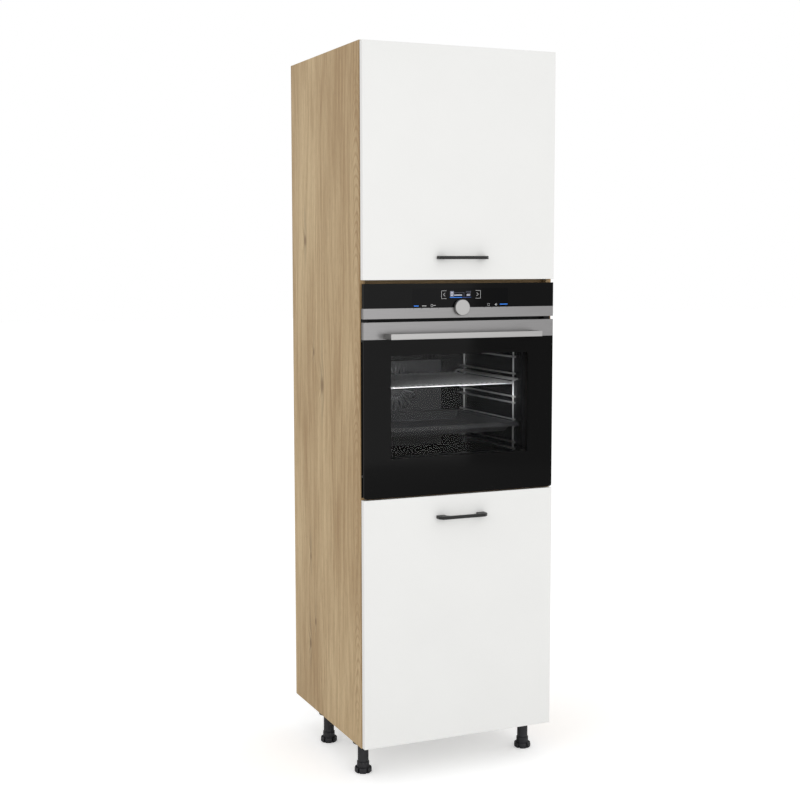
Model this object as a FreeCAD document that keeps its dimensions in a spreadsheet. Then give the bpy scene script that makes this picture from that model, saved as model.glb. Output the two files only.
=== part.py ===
import FreeCAD, Part
import math
import os
import re
import Sketcher

# Tall oven housing unit: a chipboard carcass on four adjustable legs, a lift-up upper front,
# a built-in oven and a side-hinged lower front.
# Millimetres. X is the width (0 at mid width), Y the depth (the front faces -Y), Z is up from the floor.

SIZES = {
    # carcass
    "housing_width": 600, "body_height": 1970, "carcass_depth": 560, "board": 16,
    "back_board": 3, "back_inset": 2, "shelf_setback": 30, "vent_depth": 45,
    "niche_head": 15, "niche_shelf_setback": 25,
    "rail_height": 100, "wall_hole_pitch": 480, "wall_hole_radius": 4,
    "loose_shelf_play": 1, "upper_shelf_rise": 312, "lower_shelf_rise": 334,
    "pin_radius": 2.5, "pin_depth": 8, "pin_length": 17, "pin_inset": 60, "pin_pitch": 32,
    "pin_rows": 5,
    "cam_radius": 7.5, "cam_depth": 12, "cam_reach": 34, "cam_inset": 70, "cam_play": 0.1,
    # legs
    "leg_height": 100, "leg_side_inset": 38, "leg_front_inset": 82, "leg_rear_inset": 364,
    "socket_radius": 30, "socket_plate": 12, "socket_lid": 2, "tube_radius": 15.8, "stem_radius": 10,
    "stem_play": 0.05, "collar_radius": 18, "collar_top": 32, "foot_top": 15, "stem_end": 2,
    "foot_radius": 25, "foot_chamfer": 3, "petal_slot": 5, "petals": 6,
    "petal_turn": 37, "crown_inside": 20.5, "crown_floor": 6,
    # fronts
    "front_gap": 2, "front_thickness": 18, "front_reveal": 2, "front_edge": 1,
    "lower_front_height": 711.5, "oven_upper_gap": 10,
    "handle_length": 152, "handle_reach": 30, "handle_bar": 8, "handle_tall": 9,
    "handle_foot": 26, "handle_corner": 10, "handle_slope": 10,
    "flap_handle_rise": 61.5, "door_handle_drop": 60.5,
    "bumper_radius": 4, "bumper_inset": 8, "bumper_play": 0.3,
    # cup hinges
    "cup_radius": 17.5, "cup_depth": 12, "cup_wall": 1.2, "cup_edge": 22.5, "cup_play": 0.1,
    "cup_ear": 26, "cup_ear_tall": 16, "cup_flange": 1,
    "flap_hinge_inset": 90, "door_hinge_inset": 85, "arm_width": 14,
    "link_offset": 5.5, "link_thick": 2, "arm_thick": 11,
    "arm_front": 16, "arm_length": 52, "arm_neck": 6.5, "arm_plate_front": 20, "arm_lift": 3,
    # gas struts
    "strut_plane": 14, "strut_pivot_depth": 24.3, "strut_pivot_drop": 14,
    "strut_flap_drop": 177.6, "strut_flap_offset": 15.5, "strut_radius": 7.5,
    "strut_body": 95, "strut_neck": 12, "rod_radius": 3, "rod_play": 0.05, "rod_insert": 82,
    "eye_radius": 6.5, "eye_thick": 7, "strut_pin": 3, "bracket_thick": 2,
    "bracket_half": 12, "bracket_tail": 20, "strut_side_play": 1,
    "web_half": 10, "base_half": 16, "base_reach": 10,
    # oven front
    "oven_reveal": 3, "oven_lower_gap": 4, "oven_front_height": 596.5,
    "fascia_height": 68, "oven_vent_gap": 9, "trim_height": 29, "strip_height": 48,
    "glass": 4, "trim_wall": 3, "fit_gap": 0.3, "glass_corner": 7,
    "knob_radius": 22.5, "knob_proud": 12, "knob_skirt": 1, "knob_shaft": 3, "knob_play": 0.05,
    "knob_shaft_length": 24, "housing_wall": 2,
    "board_width": 180, "board_tall": 40, "board_thin": 1.6, "board_standoff": 4,
    # oven door
    "oven_handle_reach": 49, "oven_handle_length": 470, "oven_handle_tall": 16,
    "oven_handle_bar": 12, "oven_handle_post": 14, "oven_handle_drop": 30.5,
    "window_side": 82, "window_low": 109.5, "window_margin": 45,
    "frame_raise": 4, "plug_side": 35, "plug_margin": 18, "plug_lift": 7,
    "inner_glass_lip": 12, "inner_glass": 4, "frame_sheet": 2,
    "pivot_depth": 8, "pivot_rise": 6.8, "pivot_pin": 2, "pivot_play": 0.05,
    "arm_inset": 12, "oven_arm": 3, "arm_slot": 5, "arm_boss": 3.3, "arm_slot_reach": 12,
    # oven body
    "casing_play": 5, "casing_seat": 2.5, "casing_drop": 17, "casing_back_gap": 14.5,
    "casing_wall": 1, "frame_setback": 17.5, "frame_plate": 2, "flange_thick": 1,
    "flange_screw_head": 4.5, "flange_screw_head_thin": 0.6, "flange_screw": 2,
    "flange_screw_length": 22, "flange_screw_inset": 60, "screw_play": 0.1, "seal_thick": 1.2, "seal_wide": 8,
    "cavity_side": 51, "cavity_roof": 157, "cavity_depth": 460, "cavity_lift": 60,
    "enamel_wall": 1.5,
    "baffle_width": 314, "baffle_high": 77, "baffle_low": 16, "baffle_thick": 2, "baffle_stand": 35,
    "baffle_post": 5, "baffle_post_inset": 15,
    "slot_inner": 26, "slot_outer": 68, "slot_wide": 4, "slot_count": 28,
    "fan_drop": 86, "fan_radius": 74, "fan_depth": 18, "fan_plate": 2, "fan_blades": 16, "fan_shaft": 4,
    "fan_play": 0.05, "fan_gap": 6, "motor_radius": 34, "motor_depth": 55,
    "ring_radius": 82, "heater_wire": 3.25, "ring_gap": 14, "terminal_half": 12, "terminal_radius": 4.5,
    "grill_width": 380, "grill_depth": 300, "grill_drop": 14, "grill_loops": 3,
    "grill_front": 48, "grill_bend": 22,
    "rack_wire": 2.5, "rack_gap": 6, "rack_weld": 0.5, "rack_first": 41.5, "rack_last": 45.7, "rack_levels": 5,
    "rack_front": 46, "rack_length": 370, "rack_pair": 18.5, "rack_post_inset": 20,
    "insert_length": 390,
    "shelf_wire": 2.5, "shelf_rod": 1.6, "shelf_rods": 24, "shelf_drop": 11, "shelf_ledge": 12,
    "shelf_slope": 8, "shelf_bend": 4, "shelf_play": 1.5, "shelf_level": 4, "seat_play": 0.1,
    "tray_level": 2, "tray_deep": 28, "tray_slope": 16, "tray_lip": 10, "tray_wall": 1.5, "tray_play": 0.5,
    "tray_rim": 14, "insert_front": 23,
    "lamp_radius": 20, "lamp_drop": 10, "lamp_inset": 78, "lamp_depth": 250,
    "inlet_width": 60, "inlet_tall": 40, "inlet_depth": 12, "inlet_hole": 5, "inlet_inset": 70,
}

PLACES = {
    "carcass_back": "(carcass_depth + front_gap + front_thickness + oven_handle_reach) / 2",
    "carcass_front": "carcass_back - carcass_depth",
    "front_inner": "carcass_front - front_gap",
    "front_outer": "front_inner - front_thickness",
    "half": "housing_width / 2",
    "side": "half - board",
    "front_half": "half - front_reveal",
    "body_top": "leg_height + body_height",
    "panel_back": "carcass_back - back_board",
    "lower_bottom": "leg_height + front_reveal",
    "lower_top": "lower_bottom + lower_front_height",
    "upper_top": "body_top - front_reveal",
    "oven_bottom": "lower_top + oven_lower_gap",
    "oven_top": "oven_bottom + oven_front_height",
    "upper_bottom": "oven_top + oven_upper_gap",
    "oven_half": "half - oven_reveal",
    "niche_floor": "oven_bottom + casing_seat",
    "lower_floor": "leg_height + board",
    "lower_shelf_top": "lower_floor + lower_shelf_rise",
    "door_top": "oven_top - fascia_height - trim_height - oven_vent_gap",
    "strip_bottom": "door_top - strip_height",
    "trim_bottom": "door_top + oven_vent_gap",
    "trim_top": "trim_bottom + trim_height",
    "glass_back": "front_outer + glass",
    "oven_face": "carcass_front + frame_setback",
    "plug_back": "oven_face - seal_thick - fit_gap",
    "pivot_y": "front_outer + pivot_depth",
    "pivot_z": "oven_bottom + pivot_rise",
    "window_half": "oven_half - window_side",
    "window_tall": "strip_bottom - window_margin - oven_bottom - window_low",
    "plug_half": "oven_half - plug_side",
    "arm_place": "plug_half - arm_inset",
    "casing_half": "side - casing_play",
    "casing_back": "carcass_back - casing_back_gap",
    "casing_top": "oven_top - casing_drop",
    "niche_ceiling": "casing_top + niche_head",
    "upper_floor": "niche_ceiling + board",
    "upper_shelf_top": "upper_floor + upper_shelf_rise",
    "cavity_half": "casing_half - cavity_side",
    "cavity_floor": "niche_floor + cavity_lift",
    "cavity_top": "casing_top - cavity_roof",
    "cavity_rear": "oven_face + frame_plate + cavity_depth",
    "baffle_face": "cavity_rear - baffle_stand",
    "baffle_top": "cavity_top - baffle_high",
    "fan_z": "baffle_top - fan_drop",
    "baffle_bottom": "cavity_floor + baffle_low",
    "rack_pitch": "(cavity_top - cavity_floor - rack_first - rack_last) / (rack_levels - 1)",
    "rack_x": "cavity_half - rack_gap",
    "rack_y": "oven_face + frame_plate + rack_front",
    "shelf_z": "cavity_floor + rack_first + rack_pitch * (shelf_level - 1) + rack_wire + shelf_wire",
    "tray_z": "cavity_floor + rack_first + rack_pitch * (tray_level - 1) + rack_wire + seat_play",
    "insert_half": "rack_x - shelf_play",
    "insert_y": "oven_face + frame_plate + insert_front",
    "strut_x": "side - strut_plane",
    "strut_y": "carcass_front + strut_pivot_depth",
    "strut_z": "body_top - board - strut_pivot_drop",
    "strut_flap_y": "front_inner + strut_flap_offset",
    "strut_flap_z": "upper_top - strut_flap_drop",
    "flap_handle_z": "upper_bottom + flap_handle_rise",
    "door_handle_z": "lower_top - door_handle_drop",
    "oven_handle_z": "door_top - oven_handle_drop - oven_handle_tall",
    "leg_x": "half - leg_side_inset",
}

X_AXIS = FreeCAD.Vector(1, 0, 0)
Y_AXIS = FreeCAD.Vector(0, 1, 0)
Z_AXIS = FreeCAD.Vector(0, 0, 1)
TURNS = {"x": FreeCAD.Rotation(Y_AXIS, 90), "y": FreeCAD.Rotation(X_AXIS, -90), "z": FreeCAD.Rotation()}
SIDES = {"left": -1, "right": 1}
SCREW_HEIGHTS = ("niche_floor + flange_screw_inset", "trim_bottom - flange_screw_inset")

doc = FreeCAD.newDocument("OvenHousing")
sheet = doc.addObject("Spreadsheet::Sheet", "Sizes")
finished = []


# ---------------------------------------------------------------- sizes and expressions

def fill_sheet():
    """Put each driving size in its own cell, with its name as alias."""
    for row, (name, size) in enumerate(SIZES.items(), start=1):
        sheet.set(f"A{row}", name)
        sheet.set(f"B{row}", str(size))
        sheet.setAlias(f"B{row}", name)
    doc.recompute()


def expression(text):
    """Spell out place names and sheet names for an expression."""
    def spell(match):
        word = match.group(0)
        if word in PLACES:
            return "(" + expression(PLACES[word]) + ")"
        if word in SIZES:
            return "Sizes." + word
        return word
    return re.sub(r"[a-z][a-z_0-9]*", spell, str(text))


def number(text):
    """Value of an expression, in millimetres."""
    return float(sheet.evalExpression(expression(text)))


def keep(item, label):
    """Mark an object as a finished sub-part under its own label."""
    item.Label = label
    finished.append(item)
    return item


# ---------------------------------------------------------------- plain solids

def box(name, low, high):
    """Block between two corners, each a triple of expressions."""
    block = doc.addObject("Part::Box", name)
    for size, axis, start, end in zip(("Length", "Width", "Height"), "xyz", low, high):
        block.setExpression(size, expression(f"({end}) - ({start})"))
        block.setExpression(f"Placement.Base.{axis}", expression(start))
    return block


def rod(name, axis, start, radius, length):
    """Cylinder that starts at a point and runs along +axis."""
    bar = doc.addObject("Part::Cylinder", name)
    bar.Placement = FreeCAD.Placement(FreeCAD.Vector(), TURNS[axis])
    bar.setExpression("Radius", expression(radius))
    bar.setExpression("Height", expression(length))
    for letter, place in zip("xyz", start):
        bar.setExpression(f"Placement.Base.{letter}", expression(place))
    return bar


def cut(name, base, *tools):
    """Base with the tools taken away."""
    result = doc.addObject("Part::Cut", name)
    result.Base = base
    result.Tool = tools[0] if len(tools) == 1 else fuse(name + "_tools", *tools)
    return result


def fuse(name, *pieces):
    """Pieces joined into one solid."""
    result = doc.addObject("Part::MultiFuse", name)
    result.Shapes = list(pieces)
    return result


def group(name, pieces):
    """Like pieces kept as separate solids under one node."""
    result = doc.addObject("Part::Compound", name)
    result.Links = list(pieces)
    return keep(result, name)


# ---------------------------------------------------------------- bodies from sketches

def sketch(body, role, place):
    """Empty sketch on one of the body's own planes, moved along that plane's axis to a place."""
    plane = next(item for item in body.Origin.OriginFeatures if item.Role == role)
    drawing = body.newObject("Sketcher::SketchObject", body.Name + "_sketch")
    drawing.AttachmentSupport = [(plane, "")]
    drawing.MapMode = "FlatFace"
    sign = "-" if role == "XZ_Plane" else ""
    drawing.setExpression("AttachmentOffset.Base.z", expression(f"{sign}({place})"))
    return drawing


def pin_point(drawing, geometry, point, across, up):
    """Tie one point of a sketch to a distance across and up from its origin."""
    for kind, axis, text in (("DistanceX", -2, across), ("DistanceY", -1, up)):
        value = number(text)
        if abs(value) < 1e-9:
            drawing.addConstraint(Sketcher.Constraint("PointOnObject", geometry, point, axis))
            continue
        index = drawing.addConstraint(Sketcher.Constraint(kind, -1, 1, geometry, point, value))
        drawing.setExpression(f"Constraints[{index}]", expression(text))


def polygon(drawing, corners):
    """Closed outline through corners, each (across, up) in expressions."""
    points = [FreeCAD.Vector(number(across), number(up), 0) for across, up in corners]
    first = drawing.GeometryCount
    count = len(corners)
    for index, point in enumerate(points):
        drawing.addGeometry(Part.LineSegment(point, points[(index + 1) % count]))
    for index, (across, up) in enumerate(corners):
        following = first + (index + 1) % count
        drawing.addConstraint(Sketcher.Constraint("Coincident", first + index, 2, following, 1))
        pin_point(drawing, first + index, 1, across, up)


def rectangle(drawing, low, high):
    """Upright rectangle between two corners."""
    polygon(drawing, [low, (high[0], low[1]), high, (low[0], high[1])])


def circle(drawing, across, up, radius):
    """Circle by its centre and radius."""
    centre = FreeCAD.Vector(number(across), number(up), 0)
    index = drawing.addGeometry(Part.Circle(centre, Z_AXIS, number(radius)))
    pin_point(drawing, index, 3, across, up)
    size = drawing.addConstraint(Sketcher.Constraint("Radius", index, number(radius)))
    drawing.setExpression(f"Constraints[{size}]", expression(radius))


def pad(body, drawing, length, back=False):
    """Extrude a sketch along its normal, or against it."""
    feature = body.newObject("PartDesign::Pad", body.Name + "_pad")
    feature.Profile = drawing
    feature.Reversed = back
    feature.setExpression("Length", expression(length))
    doc.recompute()
    return feature


def pocket(body, drawing, length, along=False):
    """Cut a sketch against its normal, or along it, and make sure that it takes material away."""
    before = body.Shape.Volume
    feature = body.newObject("PartDesign::Pocket", body.Name + "_pocket")
    feature.Profile = drawing
    feature.Reversed = along
    feature.setExpression("Length", expression(length))
    doc.recompute()
    if body.Shape.Volume > before - 1e-3:
        raise ValueError(f"{feature.Name} cuts nothing")
    return feature


def revolve(body, drawing):
    """Full turn of a sketch about its own vertical axis."""
    feature = body.newObject("PartDesign::Revolution", body.Name + "_turn")
    feature.Profile = drawing
    feature.ReferenceAxis = (drawing, ["V_Axis"])
    feature.Angle = 360
    doc.recompute()
    return feature


def polar(body, feature, drawing, count):
    """Repeat a feature round the sketch's normal."""
    pattern = body.newObject("PartDesign::PolarPattern", body.Name + "_ring")
    pattern.Originals = [feature]
    pattern.Axis = (drawing, ["N_Axis"])
    pattern.Angle = 360
    pattern.setExpression("Occurrences", expression(count))
    body.Tip = pattern
    doc.recompute()
    return pattern


def row(body, feature, drawing, axis, length, count):
    """Repeat a feature in a straight row along a sketch axis."""
    pattern = body.newObject("PartDesign::LinearPattern", body.Name + "_row")
    pattern.Originals = [feature]
    pattern.Direction = (drawing, [axis])
    pattern.setExpression("Length", expression(length))
    pattern.setExpression("Occurrences", expression(count))
    body.Tip = pattern
    doc.recompute()
    return pattern


def dress(body, kind, size, wanted):
    """Fillet or chamfer the edges of the body's tip that a test picks."""
    base = body.Tip
    names = [f"Edge{i}" for i, edge in enumerate(base.Shape.Edges, start=1) if wanted(edge.BoundBox)]
    feature = body.newObject("PartDesign::" + kind, body.Name + "_edge")
    feature.Base = (base, names)
    feature.setExpression("Radius" if kind == "Fillet" else "Size", expression(size))
    doc.recompute()
    return feature


def new_body(name):
    """Empty body."""
    return doc.addObject("PartDesign::Body", name)


def slab(name, role, place, low, high, length, back=False):
    """Body of one padded rectangle."""
    body = new_body(name)
    drawing = sketch(body, role, place)
    rectangle(drawing, low, high)
    pad(body, drawing, length, back)
    return body


# ---------------------------------------------------------------- carcass

def side_panel(name, sign):
    """Full-height side board with its two columns of shelf pin holes per compartment."""
    inner = f"{sign} * side"
    body = slab(name, "YZ_Plane", inner, ("carcass_front", "leg_height"), ("panel_back", "body_top"),
                "board", back=sign < 0)
    for shelf_top in ("upper_shelf_top", "lower_shelf_top"):
        holes = sketch(body, "YZ_Plane", inner)
        lowest = f"{shelf_top} - board - pin_radius - seat_play - pin_pitch * 2"
        for depth in ("carcass_front + shelf_setback + pin_inset", "panel_back - pin_inset"):
            circle(holes, depth, lowest, "pin_radius")
        drilled = pocket(body, holes, "pin_depth", along=sign > 0)
        row(body, drilled, holes, "V_Axis", "pin_pitch * (pin_rows - 1)", "pin_rows")
    pilots = sketch(body, "XZ_Plane", "carcass_front")
    for up in SCREW_HEIGHTS:
        circle(pilots, f"{sign} * (half - board / 2)", up, "flange_screw + screw_play")
    pocket(body, pilots, "flange_screw_length")
    return keep(body, name)


def cross_board(name, bottom, front, back):
    """Horizontal board between the sides, bored from below for its four cams."""
    body = slab(name, "XY_Plane", bottom, ("-side", front), ("side", back), "board")
    holes = sketch(body, "XY_Plane", bottom)
    for across in ("cam_reach - side", "side - cam_reach"):
        for depth in (f"{front} + cam_inset", f"{back} - cam_inset"):
            circle(holes, across, depth, "cam_radius")
    pocket(body, holes, "cam_depth", along=True)
    return keep(body, name)


def cam_fittings(boards):
    """Cams that lock the cross boards to the sides, flush with each board's underside."""
    cams = []
    for index, (bottom, front, back) in enumerate(boards):
        for across in ("cam_reach - side", "side - cam_reach"):
            for depth in (f"{front} + cam_inset", f"{back} - cam_inset"):
                cams.append(rod(f"cam_{index}", "z", (across, depth, bottom),
                                "cam_radius - cam_play", "cam_depth"))
    group("cam_fittings", cams)


def carcass():
    """Boards, backs, wall rail and loose shelves."""
    for name, sign in SIDES.items():
        side_panel(name + "_side_panel", sign)
    vent = "(panel_back - vent_depth)"
    boards = {
        "top_panel": ("body_top - board", "carcass_front", "panel_back"),
        "bottom_panel": ("leg_height", "carcass_front", "panel_back"),
        "oven_shelf": ("niche_floor - board", "carcass_front", vent),
        "niche_top_shelf": ("niche_ceiling", "(carcass_front + niche_shelf_setback)", vent),
    }
    for name, (bottom, front, back) in boards.items():
        cross_board(name, bottom, front, back)
    cam_fittings(boards.values())

    edge = "(half - back_inset)"
    upper = slab("upper_back_panel", "XZ_Plane", "carcass_back", (f"-{edge}", "niche_ceiling + back_inset"),
                 (edge, "body_top - back_inset"), "back_board")
    wall_holes(upper, "back_board")
    keep(upper, "upper_back_panel")
    keep(box("lower_back_panel", (f"-{edge}", "panel_back", "leg_height + back_inset"),
             (edge, "carcass_back", "niche_floor - back_inset")), "lower_back_panel")
    rail = slab("wall_rail", "XZ_Plane", "panel_back", ("-side", "body_top - board - rail_height"),
                ("side", "body_top - board"), "board")
    wall_holes(rail, "board")
    keep(rail, "wall_rail")
    loose_shelves()


def wall_holes(body, thickness):
    """Two holes for the wall fixings, through a board at the back."""
    place = "carcass_back" if thickness == "back_board" else "panel_back"
    holes = sketch(body, "XZ_Plane", place)
    for across in ("-wall_hole_pitch / 2", "wall_hole_pitch / 2"):
        circle(holes, across, "body_top - board - rail_height / 2", "wall_hole_radius")
    pocket(body, holes, thickness, along=True)


def loose_shelves():
    """One loose shelf per compartment, each on four pins."""
    pins = []
    for name, shelf_top in (("upper", "upper_shelf_top"), ("lower", "lower_shelf_top")):
        reach = "(side - loose_shelf_play)"
        shelf = box(name + "_loose_shelf", (f"-{reach}", "carcass_front + shelf_setback", f"{shelf_top} - board"),
                    (reach, "panel_back - loose_shelf_play", shelf_top))
        keep(shelf, name + "_loose_shelf")
        height = f"{shelf_top} - board - pin_radius - seat_play"
        for depth in ("carcass_front + shelf_setback + pin_inset", "panel_back - pin_inset"):
            for start in ("side + pin_depth - pin_length", "-side - pin_depth"):
                pins.append(rod("pin", "x", (start, depth, height), "pin_radius", "pin_length"))
    group("shelf_pins", pins)


# ---------------------------------------------------------------- legs and feet

def leg_places():
    """Name and place of each of the four legs."""
    for depth_name, inset in (("front", "leg_front_inset"), ("rear", "leg_rear_inset")):
        for side_name, sign in SIDES.items():
            yield f"{depth_name}_{side_name}", f"{sign} * leg_x", f"carcass_front + {inset}"


def leg_sockets():
    """Flange and tube of each leg, bored for the stem of its foot."""
    sockets = []
    for name, across, depth in leg_places():
        plate = rod("plate", "z", (across, depth, "leg_height - socket_plate"), "socket_radius", "socket_plate")
        tube = rod("tube", "z", (across, depth, "collar_top + fit_gap"), "tube_radius",
                   "leg_height - collar_top - fit_gap")
        bore = rod("bore", "z", (across, depth, "collar_top"), "stem_radius + stem_play",
                   "leg_height - collar_top - socket_lid")
        sockets.append(cut("socket_" + name, fuse("leg_" + name, plate, tube), bore))
    group("leg_sockets", sockets)


def foot(name, across, depth):
    """Stem, collar and castellated foot of one leg."""
    body = new_body(name)
    profile = sketch(body, "XZ_Plane", "0")
    polygon(profile, [
        ("0", "0"), ("foot_radius - foot_chamfer", "0"), ("foot_radius", "foot_chamfer"),
        ("foot_radius", "foot_top - foot_chamfer"), ("foot_radius - foot_chamfer / 3", "foot_top"),
        ("crown_inside", "foot_top"), ("crown_inside", "crown_floor"), ("collar_radius", "crown_floor"),
        ("collar_radius", "collar_top"), ("stem_radius", "collar_top"),
        ("stem_radius", "leg_height - socket_lid - stem_end"), ("0", "leg_height - socket_lid - stem_end")])
    revolve(body, profile)
    notch = sketch(body, "XY_Plane", "0")
    rectangle(notch, ("crown_inside - foot_chamfer / 2", "-petal_slot / 2"),
              ("foot_radius + foot_chamfer", "petal_slot / 2"))
    first = pocket(body, notch, "foot_top", along=True)
    polar(body, first, notch, "petals")
    body.Placement = FreeCAD.Placement(FreeCAD.Vector(), FreeCAD.Rotation(Z_AXIS, number("petal_turn")))
    body.setExpression("Placement.Base.x", expression(across))
    body.setExpression("Placement.Base.y", expression(depth))
    return keep(body, name)


def legs():
    """Four sockets and their four feet."""
    leg_sockets()
    for name, across, depth in leg_places():
        foot("foot_" + name, across, depth)


# ---------------------------------------------------------------- fronts and their handles

def front_panel(name, bottom, top, cups):
    """White front with eased front edges, bored for its hinge cups."""
    body = slab(name, "XZ_Plane", "front_inner", ("-front_half", bottom), ("front_half", top),
                "front_thickness")
    face = number("front_outer")
    dress(body, "Fillet", "front_edge", lambda edge: edge.YMax < face + 1e-6)
    holes = sketch(body, "XZ_Plane", "front_inner")
    for across, up in cups:
        circle(holes, across, up, "cup_radius + cup_play")
    pocket(body, holes, "cup_depth + cup_play", along=True)
    return keep(body, name)


def bow_handle(name, centre):
    """Flat black bow: bar, two feet with an inner slope, and cut front corners."""
    body = new_body(name)
    outline = sketch(body, "XY_Plane", f"{centre} - handle_tall / 2")
    end = "handle_length / 2"
    front = "(front_outer - handle_reach)"
    inner = "(handle_length / 2 - handle_foot)"
    right = [
        (end, "front_outer"), (end, f"{front} + handle_corner"), (f"{end} - handle_corner", front)]
    hollow = [
        (f"-{inner}", "front_outer"),
        (f"-{inner}", f"{front} + handle_bar + handle_slope"),
        (f"handle_slope - {inner}", f"{front} + handle_bar"),
        (f"{inner} - handle_slope", f"{front} + handle_bar"),
        (inner, f"{front} + handle_bar + handle_slope"),
        (inner, "front_outer")]
    left = [(f"-({across})", depth) for across, depth in reversed(right)]
    polygon(outline, right + left + hollow)
    pad(body, outline, "handle_tall")
    return keep(body, name)


def bumpers(name, places):
    """Small soft pads that the front closes on."""
    pads = []
    for across, up in places:
        pads.append(rod("bumper", "y", (across, "front_inner", up), "bumper_radius",
                        "front_gap - bumper_play"))
    group(name, pads)


# ---------------------------------------------------------------- cup hinges

def hinge_cups(name, places, ears_up):
    """Cup and screw flange of each hinge, sunk in the back of a front."""
    cups = []
    for across, up in places:
        half_x, half_z = ("cup_ear_tall / 2", "cup_ear") if ears_up else ("cup_ear", "cup_ear_tall / 2")
        outer = rod("cup", "y", (across, "front_inner - cup_depth", up), "cup_radius",
                    "cup_depth + cup_flange")
        ears = box("ears", (f"{across} - {half_x}", "front_inner", f"{up} - {half_z}"),
                   (f"{across} + {half_x}", "front_inner + cup_flange", f"{up} + {half_z}"))
        hollow = rod("hollow", "y", (across, "front_inner - cup_depth + cup_wall", up),
                     "cup_radius - cup_wall", "cup_depth + cup_flange")
        cups.append(cut("hinge_cup", fuse("cup_shell", outer, ears), hollow))
    group(name, cups)


def arm_profile():
    """Side view of a hinge arm: (depth behind the carcass front, distance off its board)."""
    near = "link_offset"
    far = "(link_offset + link_thick)"
    tip = "(cup_wall - cup_depth - front_gap + fit_gap)"
    return [
        ("arm_plate_front", "0"), ("(arm_front + arm_length)", "0"), ("(arm_front + arm_length)", "arm_thick"),
        ("arm_front", "arm_thick"), ("(arm_front - arm_neck)", far), (tip, far), (tip, near),
        ("(arm_front - arm_neck)", near), ("arm_front", "arm_lift"), ("arm_plate_front", "arm_lift")]


def flap_hinge_arms(places):
    """Mounting plates, arms and links under the top panel."""
    arms = []
    for across in places:
        body = new_body("flap_arm")
        outline = sketch(body, "YZ_Plane", f"{across} - arm_width / 2")
        polygon(outline, [(f"carcass_front + {depth}", f"body_top - board - {drop}")
                          for depth, drop in arm_profile()])
        pad(body, outline, "arm_width")
        arms.append(body)
    group("flap_hinge_arms", arms)


def door_hinge_arms(places):
    """Mounting plates, arms and links on the right side panel."""
    arms = []
    for up in places:
        body = new_body("door_arm")
        outline = sketch(body, "XY_Plane", f"{up} - arm_width / 2")
        polygon(outline, [(f"side - {inward}", f"carcass_front + {depth}")
                          for depth, inward in arm_profile()])
        pad(body, outline, "arm_width")
        arms.append(body)
    group("door_hinge_arms", arms)


# ---------------------------------------------------------------- gas struts

def strut_placement(sign):
    """Place of a strut: its upper pivot, tilted so that its foot meets the flap."""
    reach = number("strut_flap_y") - number("strut_y")
    drop = number("strut_z") - number("strut_flap_z")
    tilt = FreeCAD.Rotation(X_AXIS, math.degrees(math.atan2(reach, drop)))
    centre = FreeCAD.Vector(sign * number("strut_x"), number("strut_y"), number("strut_z"))
    return FreeCAD.Placement(centre, tilt)


def strut(side_name, sign):
    """Cylinder and rod of one gas strut, drawn hanging down from the upper pivot."""
    reach = number("strut_flap_y") - number("strut_y")
    drop = number("strut_z") - number("strut_flap_z")
    length = math.hypot(reach, drop)
    place = strut_placement(sign)
    tube = rod("tube", "z", ("0", "0", "-strut_neck - strut_body"), "strut_radius", "strut_body")
    neck = rod("neck", "z", ("0", "0", "-strut_neck"), "rod_radius", "strut_neck - strut_pin - 1")
    eye = rod("eye", "x", ("-eye_thick / 2", "0", "0"), "eye_radius", "eye_thick")
    pin_hole = rod("pin_hole", "x", ("-eye_thick", "0", "0"), "strut_pin + rod_play", "eye_thick * 2")
    bore = rod("bore", "z", ("0", "0", "-strut_neck - strut_body"), "rod_radius + rod_play",
               "rod_insert + strut_neck")
    cylinder = cut("cylinder_" + side_name, fuse("strut_body_" + side_name, tube, neck, eye), pin_hole, bore)
    cylinder.Placement = place
    keep(cylinder, "strut_cylinder_" + side_name)

    shank = rod("shank", "z", ("0", "0", f"{-length} + eye_radius - 1"), "rod_radius",
                f"{length} - eye_radius + 1 - strut_neck - strut_body + rod_insert")
    lower_eye = rod("lower_eye", "x", ("-eye_thick / 2", "0", f"{-length}"), "eye_radius", "eye_thick")
    piston_rod = fuse("rod_" + side_name, shank, lower_eye)
    piston_rod.Placement = place
    keep(piston_rod, "strut_rod_" + side_name)


def strut_side_brackets():
    """Plates on the side panels with the pins that the struts hang on."""
    brackets = []
    for sign in SIDES.values():
        wall, face = f"{sign} * side", f"{sign} * (side - bracket_thick)"
        low, high = (wall, face) if sign < 0 else (face, wall)
        plate = box("plate", (low, "strut_y - bracket_half", "strut_z - bracket_half"),
                    (high, "strut_y + bracket_tail", "strut_z + bracket_half"))
        start = "-side" if sign < 0 else "strut_x - eye_thick / 2 - strut_side_play"
        pin = rod("pin", "x", (start, "strut_y", "strut_z"), "strut_pin",
                  "strut_plane + eye_thick / 2 + strut_side_play")
        brackets.append(fuse("side_bracket", plate, pin))
    group("strut_side_brackets", brackets)


def flap_strut_brackets():
    """Angle brackets on the flap, beside the lower eyes of the struts."""
    brackets = []
    for sign in SIDES.values():
        near = f"{sign} * (strut_x + eye_thick / 2 + strut_side_play)"
        far = f"{sign} * (strut_x + eye_thick / 2 + strut_side_play + bracket_thick)"
        inward = f"{sign} * (strut_x - base_reach)"
        low, high = (far, near) if sign < 0 else (near, far)
        web = box("web", (low, "front_inner", "strut_flap_z - web_half"),
                  (high, "strut_flap_y + eye_radius", "strut_flap_z + web_half"))
        low, high = (far, inward) if sign < 0 else (inward, far)
        base = box("base", (low, "front_inner", "strut_flap_z - base_half"),
                   (high, "front_inner + bracket_thick", "strut_flap_z + base_half"))
        brackets.append(fuse("flap_bracket", web, base))
    group("flap_strut_brackets", brackets)


# ---------------------------------------------------------------- the two cabinet fronts

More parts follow.
